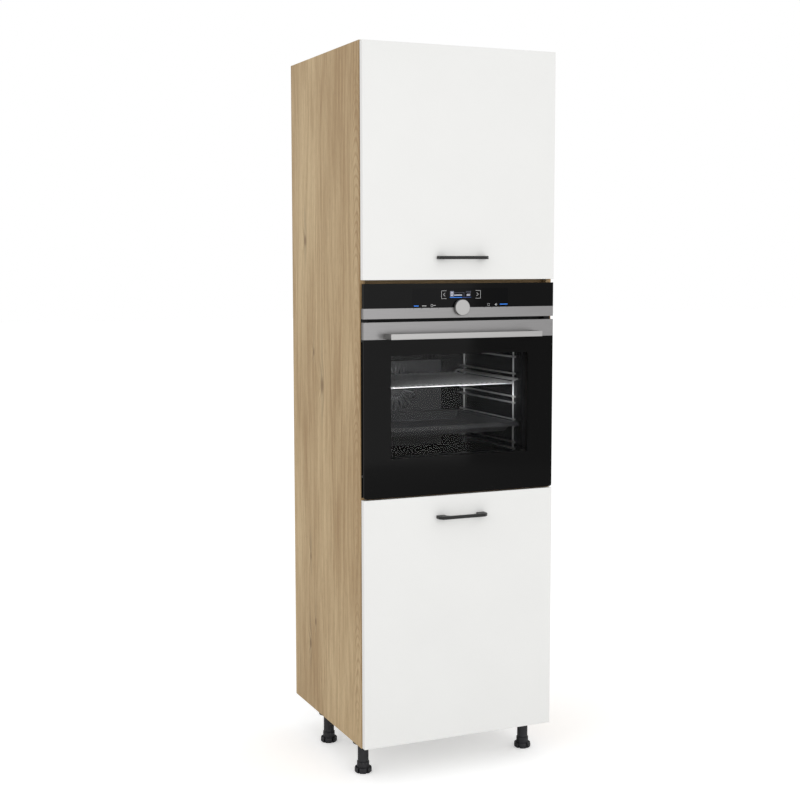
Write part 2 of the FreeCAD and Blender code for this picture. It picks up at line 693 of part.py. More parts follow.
def flap():
    """Lift-up upper front with its handle, hinges and struts."""
    rows = ["flap_hinge_inset - half", "half - flap_hinge_inset"]
    cups = [(across, "upper_top - cup_edge") for across in rows]
    front_panel("flap_panel", "upper_bottom", "upper_top", cups)
    bow_handle("flap_handle", "flap_handle_z")
    hinge_cups("flap_hinge_cups", cups, ears_up=False)
    flap_hinge_arms(rows)
    bumpers("flap_bumpers", [(f"{sign} * (half - bumper_inset)", "upper_bottom + bumper_inset * 2")
                             for sign in SIDES.values()])
    strut_side_brackets()
    flap_strut_brackets()
    for side_name, sign in SIDES.items():
        strut(side_name, sign)


def lower_door():
    """Side-hinged lower front with its handle and hinges on the right."""
    rows = ["lower_bottom + door_hinge_inset", "lower_top - door_hinge_inset"]
    cups = [("front_half - cup_edge", up) for up in rows]
    front_panel("door_panel", "lower_bottom", "lower_top", cups)
    bow_handle("door_handle", "door_handle_z")
    hinge_cups("door_hinge_cups", cups, ears_up=True)
    door_hinge_arms(rows)
    bumpers("door_bumpers", [("bumper_inset - half", "lower_bottom + bumper_inset * 2"),
                             ("bumper_inset - half", "lower_top - bumper_inset * 2")])


# ---------------------------------------------------------------- oven control panel

def control_panel():
    """Black glass, steel trim, housing, board and knob."""
    fascia = slab("control_fascia", "XZ_Plane", "glass_back", ("-oven_half", "trim_top"),
                  ("oven_half", "oven_top"), "glass")
    knob_hole(fascia, "glass_back", "glass")
    keep(fascia, "control_fascia")

    trim = slab("control_trim", "XZ_Plane", "front_inner", ("-oven_half", "trim_bottom"),
                ("oven_half", "trim_top"), "front_thickness")
    hollow = sketch(trim, "XZ_Plane", "front_inner")
    rectangle(hollow, ("trim_wall - oven_half", "trim_bottom + trim_wall"),
              ("oven_half - trim_wall", "trim_top + trim_wall"))
    pocket(trim, hollow, "front_thickness - glass", along=True)
    knob_hole(trim, "glass_back", "glass")
    keep(trim, "control_trim")

    edge = "(oven_half - trim_wall - fit_gap)"
    shell = slab("control_housing", "XZ_Plane", "carcass_front",
                 (f"-{edge}", "trim_bottom + trim_wall + fit_gap"), (edge, "oven_top - fit_gap"),
                 "carcass_front - glass_back")
    inside = sketch(shell, "XZ_Plane", "carcass_front")
    rectangle(inside, (f"housing_wall - {edge}", "trim_bottom + trim_wall + fit_gap + housing_wall"),
              (f"{edge} - housing_wall", "oven_top - fit_gap - housing_wall"))
    pocket(shell, inside, "carcass_front - glass_back - housing_wall", along=True)
    bore = sketch(shell, "XZ_Plane", "glass_back + housing_wall")
    circle(bore, "0", "trim_top", "knob_shaft + knob_play")
    pocket(shell, bore, "housing_wall", along=True)
    keep(shell, "control_housing")

    keep(box("control_board", ("-board_width / 2", "glass_back + housing_wall", "trim_top + board_standoff"),
             ("board_width / 2", "glass_back + housing_wall + board_thin",
              "trim_top + board_standoff + board_tall")), "control_board")
    control_knob()


def knob_hole(body, place, thickness):
    """Half of the clearance hole for the knob's shaft, on the border of glass and trim."""
    hole = sketch(body, "XZ_Plane", place)
    circle(hole, "0", "trim_top", "knob_shaft * 2")
    pocket(body, hole, thickness, along=True)


def control_knob():
    """Flat round knob with a skirt and a shaft into the housing."""
    body = new_body("control_knob")
    disc = sketch(body, "XZ_Plane", "front_outer - fit_gap")
    circle(disc, "0", "trim_top", "knob_radius")
    pad(body, disc, "knob_proud - fit_gap")
    face = number("front_outer - knob_proud")
    dress(body, "Chamfer", "knob_skirt", lambda edge: edge.YMax < face + 1e-6)
    shaft = sketch(body, "XZ_Plane", "front_outer - fit_gap")
    circle(shaft, "0", "trim_top", "knob_shaft")
    pad(body, shaft, "knob_shaft_length", back=True)
    return keep(body, "control_knob")


# ---------------------------------------------------------------- oven door

def oven_door():
    """Glass, strip, handle, inner frame and inner glass of the drop-down door."""
    pane = slab("oven_door_glass", "XZ_Plane", "glass_back", ("-oven_half", "oven_bottom"),
                ("oven_half", "strip_bottom"), "glass")
    low = number("oven_bottom")
    dress(pane, "Fillet", "glass_corner",
          lambda edge: edge.ZMax < low + 1e-6 and edge.XLength < 1e-6)
    keep(pane, "oven_door_glass")
    oven_door_strip()
    oven_door_handle()
    oven_door_frame()
    lip = "inner_glass_lip"
    keep(box("oven_door_inner_glass",
             (f"-window_half - {lip} + fit_gap", "plug_back - inner_glass",
              f"oven_bottom + window_low - {lip} + fit_gap"),
             (f"window_half + {lip} - fit_gap", "plug_back",
              f"oven_bottom + window_low + window_tall + {lip} - fit_gap")), "oven_door_inner_glass")


def oven_door_strip():
    """Steel cap over the top of the door."""
    strip = slab("oven_door_strip", "XZ_Plane", "front_inner", ("-oven_half", "strip_bottom"),
                 ("oven_half", "door_top"), "front_thickness")
    hollow = sketch(strip, "XZ_Plane", "front_inner")
    rectangle(hollow, ("trim_wall - oven_half", "strip_bottom - trim_wall"),
              ("oven_half - trim_wall", "door_top - trim_wall"))
    pocket(strip, hollow, "front_thickness - glass", along=True)
    keep(strip, "oven_door_strip")


def oven_door_handle():
    """Square bar with a post at each end."""
    body = new_body("oven_door_handle")
    outline = sketch(body, "XY_Plane", "oven_handle_z")
    end = "(oven_handle_length / 2)"
    post = "(oven_handle_length / 2 - oven_handle_post)"
    front = "(front_outer - oven_handle_reach)"
    polygon(outline, [
        (f"-{end}", "front_outer"), (f"-{end}", front), (end, front), (end, "front_outer"),
        (post, "front_outer"), (post, f"{front} + oven_handle_bar"),
        (f"-{post}", f"{front} + oven_handle_bar"), (f"-{post}", "front_outer")])
    pad(body, outline, "oven_handle_tall")
    face = number("front_outer - oven_handle_reach")
    dress(body, "Fillet", "front_edge", lambda edge: edge.YMax < face + 1e-6)
    return keep(body, "oven_door_handle")


def oven_door_frame():
    """Ring behind the glass and its plug that fills the front frame, slotted for the hinge arms."""
    body = slab("oven_door_frame", "XZ_Plane", "front_inner",
                ("trim_wall + fit_gap - oven_half", "oven_bottom + frame_raise"),
                ("oven_half - trim_wall - fit_gap", "door_top - trim_wall - fit_gap"),
                "front_thickness - glass")
    plug = sketch(body, "XZ_Plane", "plug_back")
    rectangle(plug, ("-plug_half", "oven_bottom + plug_lift"),
              ("plug_half", "door_top - plug_margin"))
    pad(body, plug, "plug_back - front_inner")
    window = sketch(body, "XZ_Plane", "plug_back")
    rectangle(window, ("-window_half", "oven_bottom + window_low"),
              ("window_half", "oven_bottom + window_low + window_tall"))
    pocket(body, window, "plug_back - glass_back", along=True)
    rebate = sketch(body, "XZ_Plane", "plug_back")
    lip = "inner_glass_lip"
    rectangle(rebate, (f"-window_half - {lip}", f"oven_bottom + window_low - {lip}"),
              (f"window_half + {lip}", f"oven_bottom + window_low + window_tall + {lip}"))
    pocket(body, rebate, "inner_glass", along=True)
    hollow_door_frame(body)
    for sign in SIDES.values():
        block = sketch(body, "XZ_Plane", "front_inner")
        rectangle(block, (f"{sign} * arm_place - arm_slot * 1.5", "oven_bottom + frame_raise"),
                  (f"{sign} * arm_place + arm_slot * 1.5", "pivot_z + arm_slot_reach + frame_sheet"))
        pad(body, block, "front_thickness - glass")
        slot = sketch(body, "XZ_Plane", "plug_back")
        rectangle(slot, (f"{sign} * arm_place - arm_slot / 2", "oven_bottom"),
                  (f"{sign} * arm_place + arm_slot / 2", "pivot_z + arm_slot_reach"))
        pocket(body, slot, "plug_back - glass_back", along=True)
        holes = sketch(body, "YZ_Plane", f"{sign} * arm_place - arm_slot * 1.5")
        circle(holes, "pivot_y", "pivot_z", "pivot_pin + pivot_play")
        pocket(body, holes, "arm_slot * 3", along=True)
    return keep(body, "oven_door_frame")


def hollow_door_frame(body):
    """Take the inside out of the frame from the front, down to its sheet."""
    sheet_wall = "frame_sheet"
    ring = ("oven_half - trim_wall - fit_gap", "oven_bottom + frame_raise", "door_top - trim_wall - fit_gap")
    plug = ("plug_half", "oven_bottom + plug_lift", "door_top - plug_margin")
    whole = "plug_back - glass_back - frame_sheet"
    steps = ((ring, "0", "front_thickness - glass - frame_sheet"),
             (plug, "0", f"{whole} - inner_glass"), (plug, "inner_glass_lip", whole))
    for (half_width, low, high), lip, depth in steps:
        hollow = sketch(body, "XZ_Plane", "glass_back")
        rectangle(hollow, (f"{sheet_wall} - ({half_width})", f"{low} + {sheet_wall}"),
                  (f"{half_width} - {sheet_wall}", f"{high} - {sheet_wall}"))
        rectangle(hollow, (f"-window_half - {lip} - {sheet_wall}",
                           f"oven_bottom + window_low - {lip} - {sheet_wall}"),
                  (f"window_half + {lip} + {sheet_wall}",
                   f"oven_bottom + window_low + window_tall + {lip} + {sheet_wall}"))
        pocket(body, hollow, depth)


def oven_hinge_arms():
    """Fixed arms that carry the door on their cross pins."""
    arms = []
    for sign in SIDES.values():
        body = new_body("oven_arm")
        outline = sketch(body, "YZ_Plane", f"{sign} * arm_place - oven_arm / 2")
        polygon(outline, [
            ("pivot_y - arm_boss", "pivot_z - arm_boss * 0.6"), ("pivot_y + arm_boss", "pivot_z - arm_boss * 0.6"),
            ("oven_face", "pivot_z + 1"), ("oven_face", "pivot_z + 9"),
            ("pivot_y + arm_boss", "pivot_z + arm_boss"), ("pivot_y - arm_boss", "pivot_z + arm_boss")])
        pad(body, outline, "oven_arm")
        cross = sketch(body, "YZ_Plane", f"{sign} * arm_place - arm_slot")
        circle(cross, "pivot_y", "pivot_z", "pivot_pin")
        pad(body, cross, "arm_slot * 2")
        arms.append(body)
    group("oven_hinge_arms", arms)


# ---------------------------------------------------------------- oven body

def oven_front_frame():
    """Sheet frame: a recess for the door's plug, side flanges and the opening of the cavity."""
    edge = "casing_half"
    wall = "(casing_half - frame_plate)"
    body = slab("oven_front_frame", "XZ_Plane", "oven_face + frame_plate", (f"-{edge}", "niche_floor"),
                (edge, "casing_top"), "frame_setback + frame_plate")
    recess = sketch(body, "XZ_Plane", "oven_face")
    rectangle(recess, (f"-{wall}", "niche_floor + frame_plate"), (wall, "casing_top + frame_plate"))
    pocket(body, recess, "frame_setback + frame_plate", along=True)
    mouth = sketch(body, "XZ_Plane", "oven_face + frame_plate")
    rectangle(mouth, ("-cavity_half", "cavity_floor"), ("cavity_half", "cavity_top"))
    pocket(body, mouth, "frame_plate * 2", along=True)
    for sign in SIDES.values():
        near, far = f"{sign} * (casing_half - frame_plate)", f"{sign} * oven_half"
        low, high = (far, near) if sign < 0 else (near, far)
        flange = sketch(body, "XZ_Plane", "carcass_front")
        rectangle(flange, (low, "niche_floor"), (high, "trim_bottom"))
        pad(body, flange, "flange_thick")
    holes = sketch(body, "XZ_Plane", "carcass_front - flange_thick")
    for sign in SIDES.values():
        for up in SCREW_HEIGHTS:
            circle(holes, f"{sign} * (half - board / 2)", up, "flange_screw + screw_play")
    pocket(body, holes, "flange_thick")
    return keep(body, "oven_front_frame")


def oven_shells():
    """Outer casing, enamelled cavity and the seal round its mouth."""
    outer = box("casing_outer", ("-casing_half", "oven_face + frame_plate", "niche_floor"),
                ("casing_half", "casing_back", "casing_top"))
    inner = box("casing_inner",
                ("casing_wall - casing_half", "oven_face", "niche_floor + casing_wall"),
                ("casing_half - casing_wall", "casing_back - casing_wall", "casing_top - casing_wall"))
    keep(cut("oven_casing", outer, inner), "oven_casing")

    wall = "enamel_wall"
    shell = box("cavity_outer", (f"-cavity_half - {wall}", "oven_face + frame_plate", f"cavity_floor - {wall}"),
                (f"cavity_half + {wall}", f"cavity_rear + {wall}", f"cavity_top + {wall}"))
    room = box("cavity_room", ("-cavity_half", "oven_face", "cavity_floor"),
               ("cavity_half", "cavity_rear", "cavity_top"))
    shaft_hole = rod("shaft_hole", "y", ("0", "cavity_rear - 1", "fan_z"), "fan_shaft * 2", f"{wall} + 2")
    keep(cut("oven_cavity", shell, room, shaft_hole), "oven_cavity")

    rim = box("seal_outer", ("-cavity_half - seal_wide", "oven_face - seal_thick", "cavity_floor - seal_wide"),
              ("cavity_half + seal_wide", "oven_face", "cavity_top + seal_wide"))
    gap = box("seal_gap", ("-cavity_half", "oven_face - seal_thick - 1", "cavity_floor"),
              ("cavity_half", "oven_face + 1", "cavity_top"))
    keep(cut("door_seal", rim, gap), "door_seal")


def fan_cover():
    """Baffle with a ring of radial slots, on four posts in front of the cavity's rear wall."""
    body = slab("baffle", "XZ_Plane", "baffle_face + baffle_thick", ("-baffle_width / 2", "baffle_bottom"),
                ("baffle_width / 2", "baffle_top"), "baffle_thick")
    for across in ("baffle_post_inset - baffle_width / 2", "baffle_width / 2 - baffle_post_inset"):
        for up in ("baffle_bottom + baffle_post_inset", "baffle_top - baffle_post_inset"):
            post = sketch(body, "XZ_Plane", "cavity_rear")
            circle(post, across, up, "baffle_post")
            pad(body, post, "baffle_stand - baffle_thick")
    cutters = []
    count = int(number("slot_count"))
    for index in range(count):
        slot = box("slot", ("-slot_wide / 2", "baffle_face - 1", "slot_inner"),
                   ("slot_wide / 2", "baffle_face + baffle_thick + 1", "slot_outer"))
        turn = doc.addObject("Part::Compound", "slot_turn")
        turn.Links = [slot]
        turn.Placement = FreeCAD.Placement(FreeCAD.Vector(0, 0, number("fan_z")),
                                           FreeCAD.Rotation(Y_AXIS, 360 * index / count))
        cutters.append(turn)
    keep(cut("fan_cover", body, *cutters), "fan_cover")


def convection_fan():
    """Radial fan wheel on its shaft through the rear wall."""
    body = new_body("convection_fan")
    front = "(baffle_face + baffle_thick + fan_gap)"
    back = f"({front} + fan_depth)"
    disc = sketch(body, "XZ_Plane", back)
    circle(disc, "0", "0", "fan_radius")
    pad(body, disc, "fan_plate")
    blade = sketch(body, "XZ_Plane", f"{back} - fan_plate")
    rectangle(blade, ("fan_radius * 0.55", "-fan_plate / 4"), ("fan_radius * 0.97", "fan_plate / 4"))
    vane = pad(body, blade, "fan_depth - fan_plate")
    polar(body, vane, blade, "fan_blades")
    hub = sketch(body, "XZ_Plane", f"{back} - fan_plate")
    circle(hub, "0", "0", "fan_shaft * 2.5")
    pad(body, hub, "fan_depth / 2")
    shaft = sketch(body, "XZ_Plane", back)
    circle(shaft, "0", "0", "fan_shaft")
    pad(body, shaft, f"cavity_rear + enamel_wall + motor_depth / 2 - {back}", back=True)
    body.setExpression("Placement.Base.z", expression("fan_z"))
    return keep(body, "convection_fan")


def fan_motor():
    """Motor on the outside of the cavity's rear wall."""
    start = "(cavity_rear + enamel_wall)"
    can = rod("motor_can", "y", ("0", start, "fan_z"), "motor_radius", "motor_depth")
    bore = rod("motor_bore", "y", ("0", f"{start} - 1", "fan_z"), "fan_shaft + fan_play", "motor_depth / 2 + 2")
    keep(cut("fan_motor", can, bore), "fan_motor")


def bent_wire(points, radius, bend):
    """Round wire along straight runs joined by tangent arcs."""
    edges = []
    start = points[0]
    for before, corner, after in zip(points, points[1:], points[2:]):
        into = (corner - before).normalize()
        out = (after - corner).normalize()
        half_turn = into.getAngle(out) / 2
        trim = bend * math.tan(half_turn)
        first = corner - into * trim
        last = corner + out * trim
        middle = corner + (out - into).normalize() * bend * (1 / math.cos(half_turn) - 1)
        edges.append(Part.LineSegment(start, first).toShape())
        edges.append(Part.Arc(first, middle, last).toShape())
        start = last
    edges.append(Part.LineSegment(start, points[-1]).toShape())
    path = Part.Wire(edges)
    section = Part.Wire([Part.Circle(points[0], points[1] - points[0], radius).toShape()])
    return path.makePipeShell([section], True, False)


def grill_element():
    """Serpentine heater under the cavity's roof, with its two ends through the rear wall."""
    wide, deep = number("grill_width") / 2, number("grill_depth")
    height = number("cavity_top - grill_drop")
    rear = number("cavity_rear")
    front = number("oven_face + frame_plate + grill_front")
    loops = int(number("grill_loops"))
    step = 2 * wide / (2 * loops - 1)
    points = [FreeCAD.Vector(-wide, rear, height)]
    for index in range(2 * loops):
        across = -wide + step * index
        ends = (front + deep, front) if index % 2 == 0 else (front, front + deep)
        if index == 0:
            points.append(FreeCAD.Vector(across, ends[1], height))
        elif index == 2 * loops - 1:
            points.append(FreeCAD.Vector(across, ends[0], height))
        else:
            points += [FreeCAD.Vector(across, depth, height) for depth in ends]
    points.append(FreeCAD.Vector(wide, rear, height))
    element = doc.addObject("Part::Feature", "grill_element")
    element.Shape = bent_wire(points, number("heater_wire"), number("grill_bend"))
    return keep(element, "grill_element")


def ring_element():
    """Ring heater round the fan: an open ring whose two ends sit in terminals on the rear wall."""
    opening = math.degrees(math.asin(number("terminal_half") / number("ring_radius")))
    ring = doc.addObject("Part::Torus", "ring")
    ring.setExpression("Radius1", expression("ring_radius"))
    ring.setExpression("Radius2", expression("heater_wire"))
    ring.Angle3 = 360 - 2 * opening
    ring.Placement = FreeCAD.Placement(
        FreeCAD.Vector(0, number("cavity_rear - ring_gap"), number("fan_z")),
        TURNS["y"].multiply(FreeCAD.Rotation(Z_AXIS, 90 + opening)))
    foot_drop = "sqrt(ring_radius ^ 2 - terminal_half ^ 2)"
    ends = [rod("terminal", "y", (f"{sign} * terminal_half", "cavity_rear - ring_gap - terminal_radius",
                                  f"fan_z - {foot_drop}"),
                "terminal_radius", "ring_gap + terminal_radius") for sign in SIDES.values()]
    keep(fuse("ring_element", ring, *ends), "ring_element")


def side_racks():
    """Wire ladders on both cavity walls: two posts and five pairs of rails each."""
    racks = []
    for sign in SIDES.values():
        wires = []
        for depth in ("rack_y + rack_post_inset", "rack_y + rack_length - rack_post_inset"):
            wires.append(rod("post", "z", (f"{sign} * (rack_x + rack_wire)", depth, "cavity_floor + rack_post_inset"),
                             "rack_wire", "rack_first + rack_pitch * (rack_levels - 1) + rack_pair - rack_post_inset"))
            for up in ("cavity_floor + rack_first", "cavity_floor + rack_first + rack_pitch * (rack_levels - 1)"):
                start = "rack_x" if sign > 0 else "-cavity_half"
                wires.append(rod("stub", "x", (start, depth, up), "rack_wire", "rack_gap"))
        for level in range(int(number("rack_levels"))):
            for lift in ("0", "rack_pair"):
                up = f"cavity_floor + rack_first + rack_pitch * {level} + {lift}"
                wires.append(rod("rail", "y", (f"{sign} * (rack_x - rack_wire + rack_weld)", "rack_y", up),
                                 "rack_wire", "rack_length"))
        racks.append(fuse("rack", *wires))
    group("side_racks", racks)


def shelf_frame_wire(end, middle):
    """Half of the grid's edge wire: along both rails, then down to the low bar at one end."""
    half = number("insert_half - shelf_wire")
    ledge, slope = number("shelf_ledge"), number("shelf_slope")
    high, low = number("shelf_z"), number("shelf_z - shelf_drop")
    right = [(half, middle, high), (half, end, high), (half - ledge, end, high),
             (half - ledge - slope, end, low)]
    left = [(-across, depth, height) for across, depth, height in reversed(right)]
    wire = doc.addObject("Part::Feature", "shelf_frame_wire")
    wire.Shape = bent_wire([FreeCAD.Vector(*point) for point in right + left],
                           number("shelf_wire"), number("shelf_bend"))
    return wire


def wire_shelf():
    """Chromed grid: an edge wire that rides high on the rails, and a row of thin rods on its low bars."""
    near, far = number("insert_y + shelf_wire"), number("insert_y + insert_length - shelf_wire")
    wires = [shelf_frame_wire(near, (near + far) / 2), shelf_frame_wire(far, (near + far) / 2)]
    span = "(insert_half - shelf_ledge - shelf_slope - shelf_wire * 2)"
    for index in range(int(number("shelf_rods"))):
        across = f"-{span} + 2 * {span} * {index} / (shelf_rods - 1)"
        height = "shelf_z - shelf_drop + shelf_wire + shelf_rod * 0.7"
        wires.append(rod("grid_rod", "y", (across, "insert_y", height), "shelf_rod", "insert_length"))
    keep(fuse("wire_shelf", *wires), "wire_shelf")


def wedge(name, low, high, slope):
    """Block that widens upwards by a slope on each side."""
    block = doc.addObject("Part::Wedge", name)
    (x0, y0, z0), (x1, y1, z1) = low, high
    bounds = {"Xmin": x0, "Xmax": x1, "Zmin": y0, "Zmax": y1, "X2min": f"{x0} - {slope}",
              "X2max": f"{x1} + {slope}", "Z2min": f"{y0} - {slope}", "Z2max": f"{y1} + {slope}"}
    for key, text in bounds.items():
        block.setExpression(key, expression(f"({text}) - ({x0 if 'X' in key else y0})"))
    block.Ymin = 0
    block.setExpression("Ymax", expression(f"({z1}) - ({z0})"))
    block.Placement = FreeCAD.Placement(FreeCAD.Vector(), FreeCAD.Rotation(X_AXIS, 90))
    block.setExpression("Placement.Base.x", expression(x0))
    block.setExpression("Placement.Base.y", expression(y1))
    block.setExpression("Placement.Base.z", expression(z0))
    return block


def baking_tray():
    """Dark tray with sloped walls and a turned-down rim that rests on the rails."""
    half = "(insert_half - tray_play)"
    floor_half = f"({half} - tray_rim - tray_slope)"
    near = "(insert_y + tray_rim + tray_slope)"
    far = "(insert_y + insert_length - tray_rim - tray_slope)"
    top = "(tray_z + tray_lip + tray_wall)"
    bottom = f"({top} - tray_deep)"
    outer = wedge("tray_outer", (f"-{floor_half}", near, bottom), (floor_half, far, top), "tray_slope")
    inner = wedge("tray_inner", (f"tray_wall - {floor_half}", f"{near} + tray_wall", f"{bottom} + tray_wall"),
                  (f"{floor_half} - tray_wall", f"{far} - tray_wall", f"{top} + tray_wall"), "tray_slope")
    rim = box("tray_rim_plate", (f"-{half}", "insert_y", "tray_z"), (half, "insert_y + insert_length", top))
    under = box("tray_under", (f"tray_wall - {half}", "insert_y + tray_wall", "tray_z - tray_wall"),
                (f"{half} - tray_wall", "insert_y + insert_length - tray_wall", f"{top} - tray_wall"))
    keep(cut("baking_tray", fuse("tray_body", outer, cut("tray_rim", rim, under)), inner), "baking_tray")


def small_oven_parts():
    """Lamp, mains inlet and the screws that hold the oven in the carcass."""
    depth = "(oven_face + frame_plate + lamp_depth)"
    keep(rod("oven_lamp", "z", ("cavity_half - lamp_inset", depth, "cavity_top - lamp_drop"), "lamp_radius", "lamp_drop"),
         "oven_lamp")
    low = ("-casing_half + inlet_inset", "casing_back", "casing_top - inlet_inset")
    high = ("-casing_half + inlet_inset + inlet_width", "casing_back + inlet_depth",
            "casing_top - inlet_inset + inlet_tall")
    shell = box("inlet_box", low, high)
    hole = rod("inlet_bore", "y", (f"{low[0]} + inlet_width / 2", "casing_back + inlet_depth / 3",
                                   f"{low[2]} + inlet_tall / 2"), "inlet_hole", "inlet_depth")
    keep(cut("mains_inlet", shell, hole), "mains_inlet")
    screws = []
    for sign in SIDES.values():
        for up in SCREW_HEIGHTS:
            across = f"{sign} * (half - board / 2)"
            head = rod("head", "y", (across, "carcass_front - flange_thick - flange_screw_head_thin", up),
                       "flange_screw_head", "flange_screw_head_thin")
            shank = rod("shank", "y", (across, "carcass_front - flange_thick - flange_screw_head_thin", up),
                        "flange_screw", "flange_screw_length")
            screws.append(fuse("screw", head, shank))
    group("oven_fixing_screws", screws)


def oven():
    """The built-in oven, piece by piece."""
    oven_front_frame()
    oven_shells()
    fan_cover()
    convection_fan()
    fan_motor()
    grill_element()
    ring_element()
    side_racks()
    wire_shelf()
    baking_tray()
    small_oven_parts()
    control_panel()
    oven_hinge_arms()
    oven_door()


# ---------------------------------------------------------------- checks and files

def write_parts():
    """Check every object, then write one file per finished sub-part."""
    doc.recompute()
    for item in doc.Objects:
        if "Invalid" in item.State or "Error" in item.State:
            raise ValueError(f"{item.Name} failed: {item.State}")
    os.makedirs("parts", exist_ok=True)
    for item in finished:
        shape = item.Shape
        if shape.isNull() or not shape.isValid() or not shape.Solids:
            raise ValueError(f"{item.Label} has no valid solid")
        shape.exportStep(f"parts/{item.Label}.step")
        bounds = shape.BoundBox
        print(f"{item.Label}: {len(shape.Solids)} solid(s), {shape.Volume / 1000:.1f} cm3, "
              f"x {bounds.XMin:.1f} {bounds.XMax:.1f} y {bounds.YMin:.1f} {bounds.YMax:.1f} "
              f"z {bounds.ZMin:.1f} {bounds.ZMax:.1f}")
    print(f"{len(finished)} sub-parts")


fill_sheet()
carcass()
legs()
flap()
lower_door()
oven()
write_parts()
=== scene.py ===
"""Looks of a tall oven housing unit: oak-effect carcass, white fronts, built-in oven, black legs.

Sizes in the classes are millimetres in the part's own frame: X across, the fronts face -Y, Z up from the
floor. The studio's places are metres.
"""
import logging
import math
from dataclasses import dataclass
from enum import Enum

import bmesh
import bpy
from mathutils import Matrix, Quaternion, Vector


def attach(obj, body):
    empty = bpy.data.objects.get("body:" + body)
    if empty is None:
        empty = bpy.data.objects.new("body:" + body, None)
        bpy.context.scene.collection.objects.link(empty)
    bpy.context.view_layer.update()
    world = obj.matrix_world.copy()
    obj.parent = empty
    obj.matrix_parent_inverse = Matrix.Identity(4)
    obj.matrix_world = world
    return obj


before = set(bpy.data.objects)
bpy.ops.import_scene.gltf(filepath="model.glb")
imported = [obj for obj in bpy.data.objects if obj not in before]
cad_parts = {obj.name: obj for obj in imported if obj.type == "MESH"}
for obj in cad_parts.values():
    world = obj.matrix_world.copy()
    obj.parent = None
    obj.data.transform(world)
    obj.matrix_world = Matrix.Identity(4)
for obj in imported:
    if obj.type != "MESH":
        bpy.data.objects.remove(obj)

MM = 0.001
# Corners this close are one corner, and faces turned less than this, in degrees, are one face.
WELD_REACH = 0.01 * MM
FLAT_ANGLE = 0.5
# A printed mark shades sharp and a part is rounded where faces turn by more, in degrees.
SMOOTH_ANGLE = 32
SHARP_ANGLE = 50
EASE_STEPS = 3
# Strokes that a seven-stroke display lights for each digit.
DIGIT_STROKES = {"0": "abcdef", "1": "bc", "2": "abged", "8": "abcdefg"}
log = logging.getLogger("oven_housing")

Tree = bpy.types.NodeTree
Node = bpy.types.Node
Socket = bpy.types.NodeSocket
Pair = tuple[float, float]
Triple = tuple[float, float, float]
# Left, bottom, right and top.
Edges = tuple[float, float, float, float]


class Axis(Enum):
    """Direction that metal is brushed or drawn in, as the number of the frame's axis."""

    X = 0
    Y = 1


# ---------------------------------------------------------------- nodes and colours

def linear(colour: str) -> tuple[float, float, float, float]:
    """Turns an sRGB hex colour to linear light.

    Args:
        colour: six hex digits, such as "b8a07e".

    Returns:
        Red, green, blue and an alpha of 1.
    """
    parts = [int(colour[index:index + 2], 16) / 255 for index in (0, 2, 4)]
    light = [part / 12.92 if part <= 0.04045 else ((part + 0.055) / 1.055) ** 2.4 for part in parts]
    return light[0], light[1], light[2], 1.0


def add(tree: Tree, kind: str, inputs: dict | None = None, **settings: str) -> Node:
    """Adds one node with its settings and its links.

    Args:
        tree: the tree that the node joins.
        kind: the node's type, without "ShaderNode" in front.
        inputs: what goes into its sockets, by name or number: a node, for its first output, a node's
            output, or a value.
        settings: the node's own properties.

    Returns:
        The new node.
    """
    node = tree.nodes.new("ShaderNode" + kind)
    for name, value in settings.items():
        setattr(node, name, value)
    for socket, value in (inputs or {}).items():
        if isinstance(value, Node):
            value = value.outputs[0]
        if isinstance(value, Socket):
            tree.links.new(value, node.inputs[socket])
        else:
            node.inputs[socket].default_value = value
    return node


# ---------------------------------------------------------------- finishes

@dataclass(frozen=True)
class Finish:
    """A real material with its usual gloss; each kind below adds what its making leaves on the surface."""

    name: str
    colour: str
    roughness: float = 0.5
    metallic: float = 0.0
    ior: float = 1.5
    specular: float = 0.5

    def make(self) -> bpy.types.Material:
        """Makes the material once.

        Returns:
            The material, new or made before.
        """
        material = bpy.data.materials.get(self.name)
        if material is None:
            material = bpy.data.materials.new(self.name)
            material.use_nodes = True
            tree = material.node_tree
            tree.nodes.clear()
            shader = add(tree, "BsdfPrincipled", {
                "Base Color": linear(self.colour), "Roughness": self.roughness, "Metallic": self.metallic,
                "IOR": self.ior, "Specular IOR Level": self.specular})
            output = add(tree, "OutputMaterial", {"Surface": shader})
            self.pattern(tree, shader, output)
        return material

    def pattern(self, tree: Tree, shader: Node, output: Node) -> None:
        """Adds the surface's own detail; a plain finish has none."""

    def place(self, tree: Tree, stretch: Triple) -> Socket:
        """Point on the piece, pulled out along an axis so that a pattern runs that way.

        Args:
            tree: the material's tree.
            stretch: how much of each axis the pattern sees.

        Returns:
            The socket with the point, in metres.
        """
        spot = add(tree, "TexCoord")
        return add(tree, "VectorMath", {0: spot.outputs["Object"], 1: stretch},
                   operation="MULTIPLY").outputs[0]


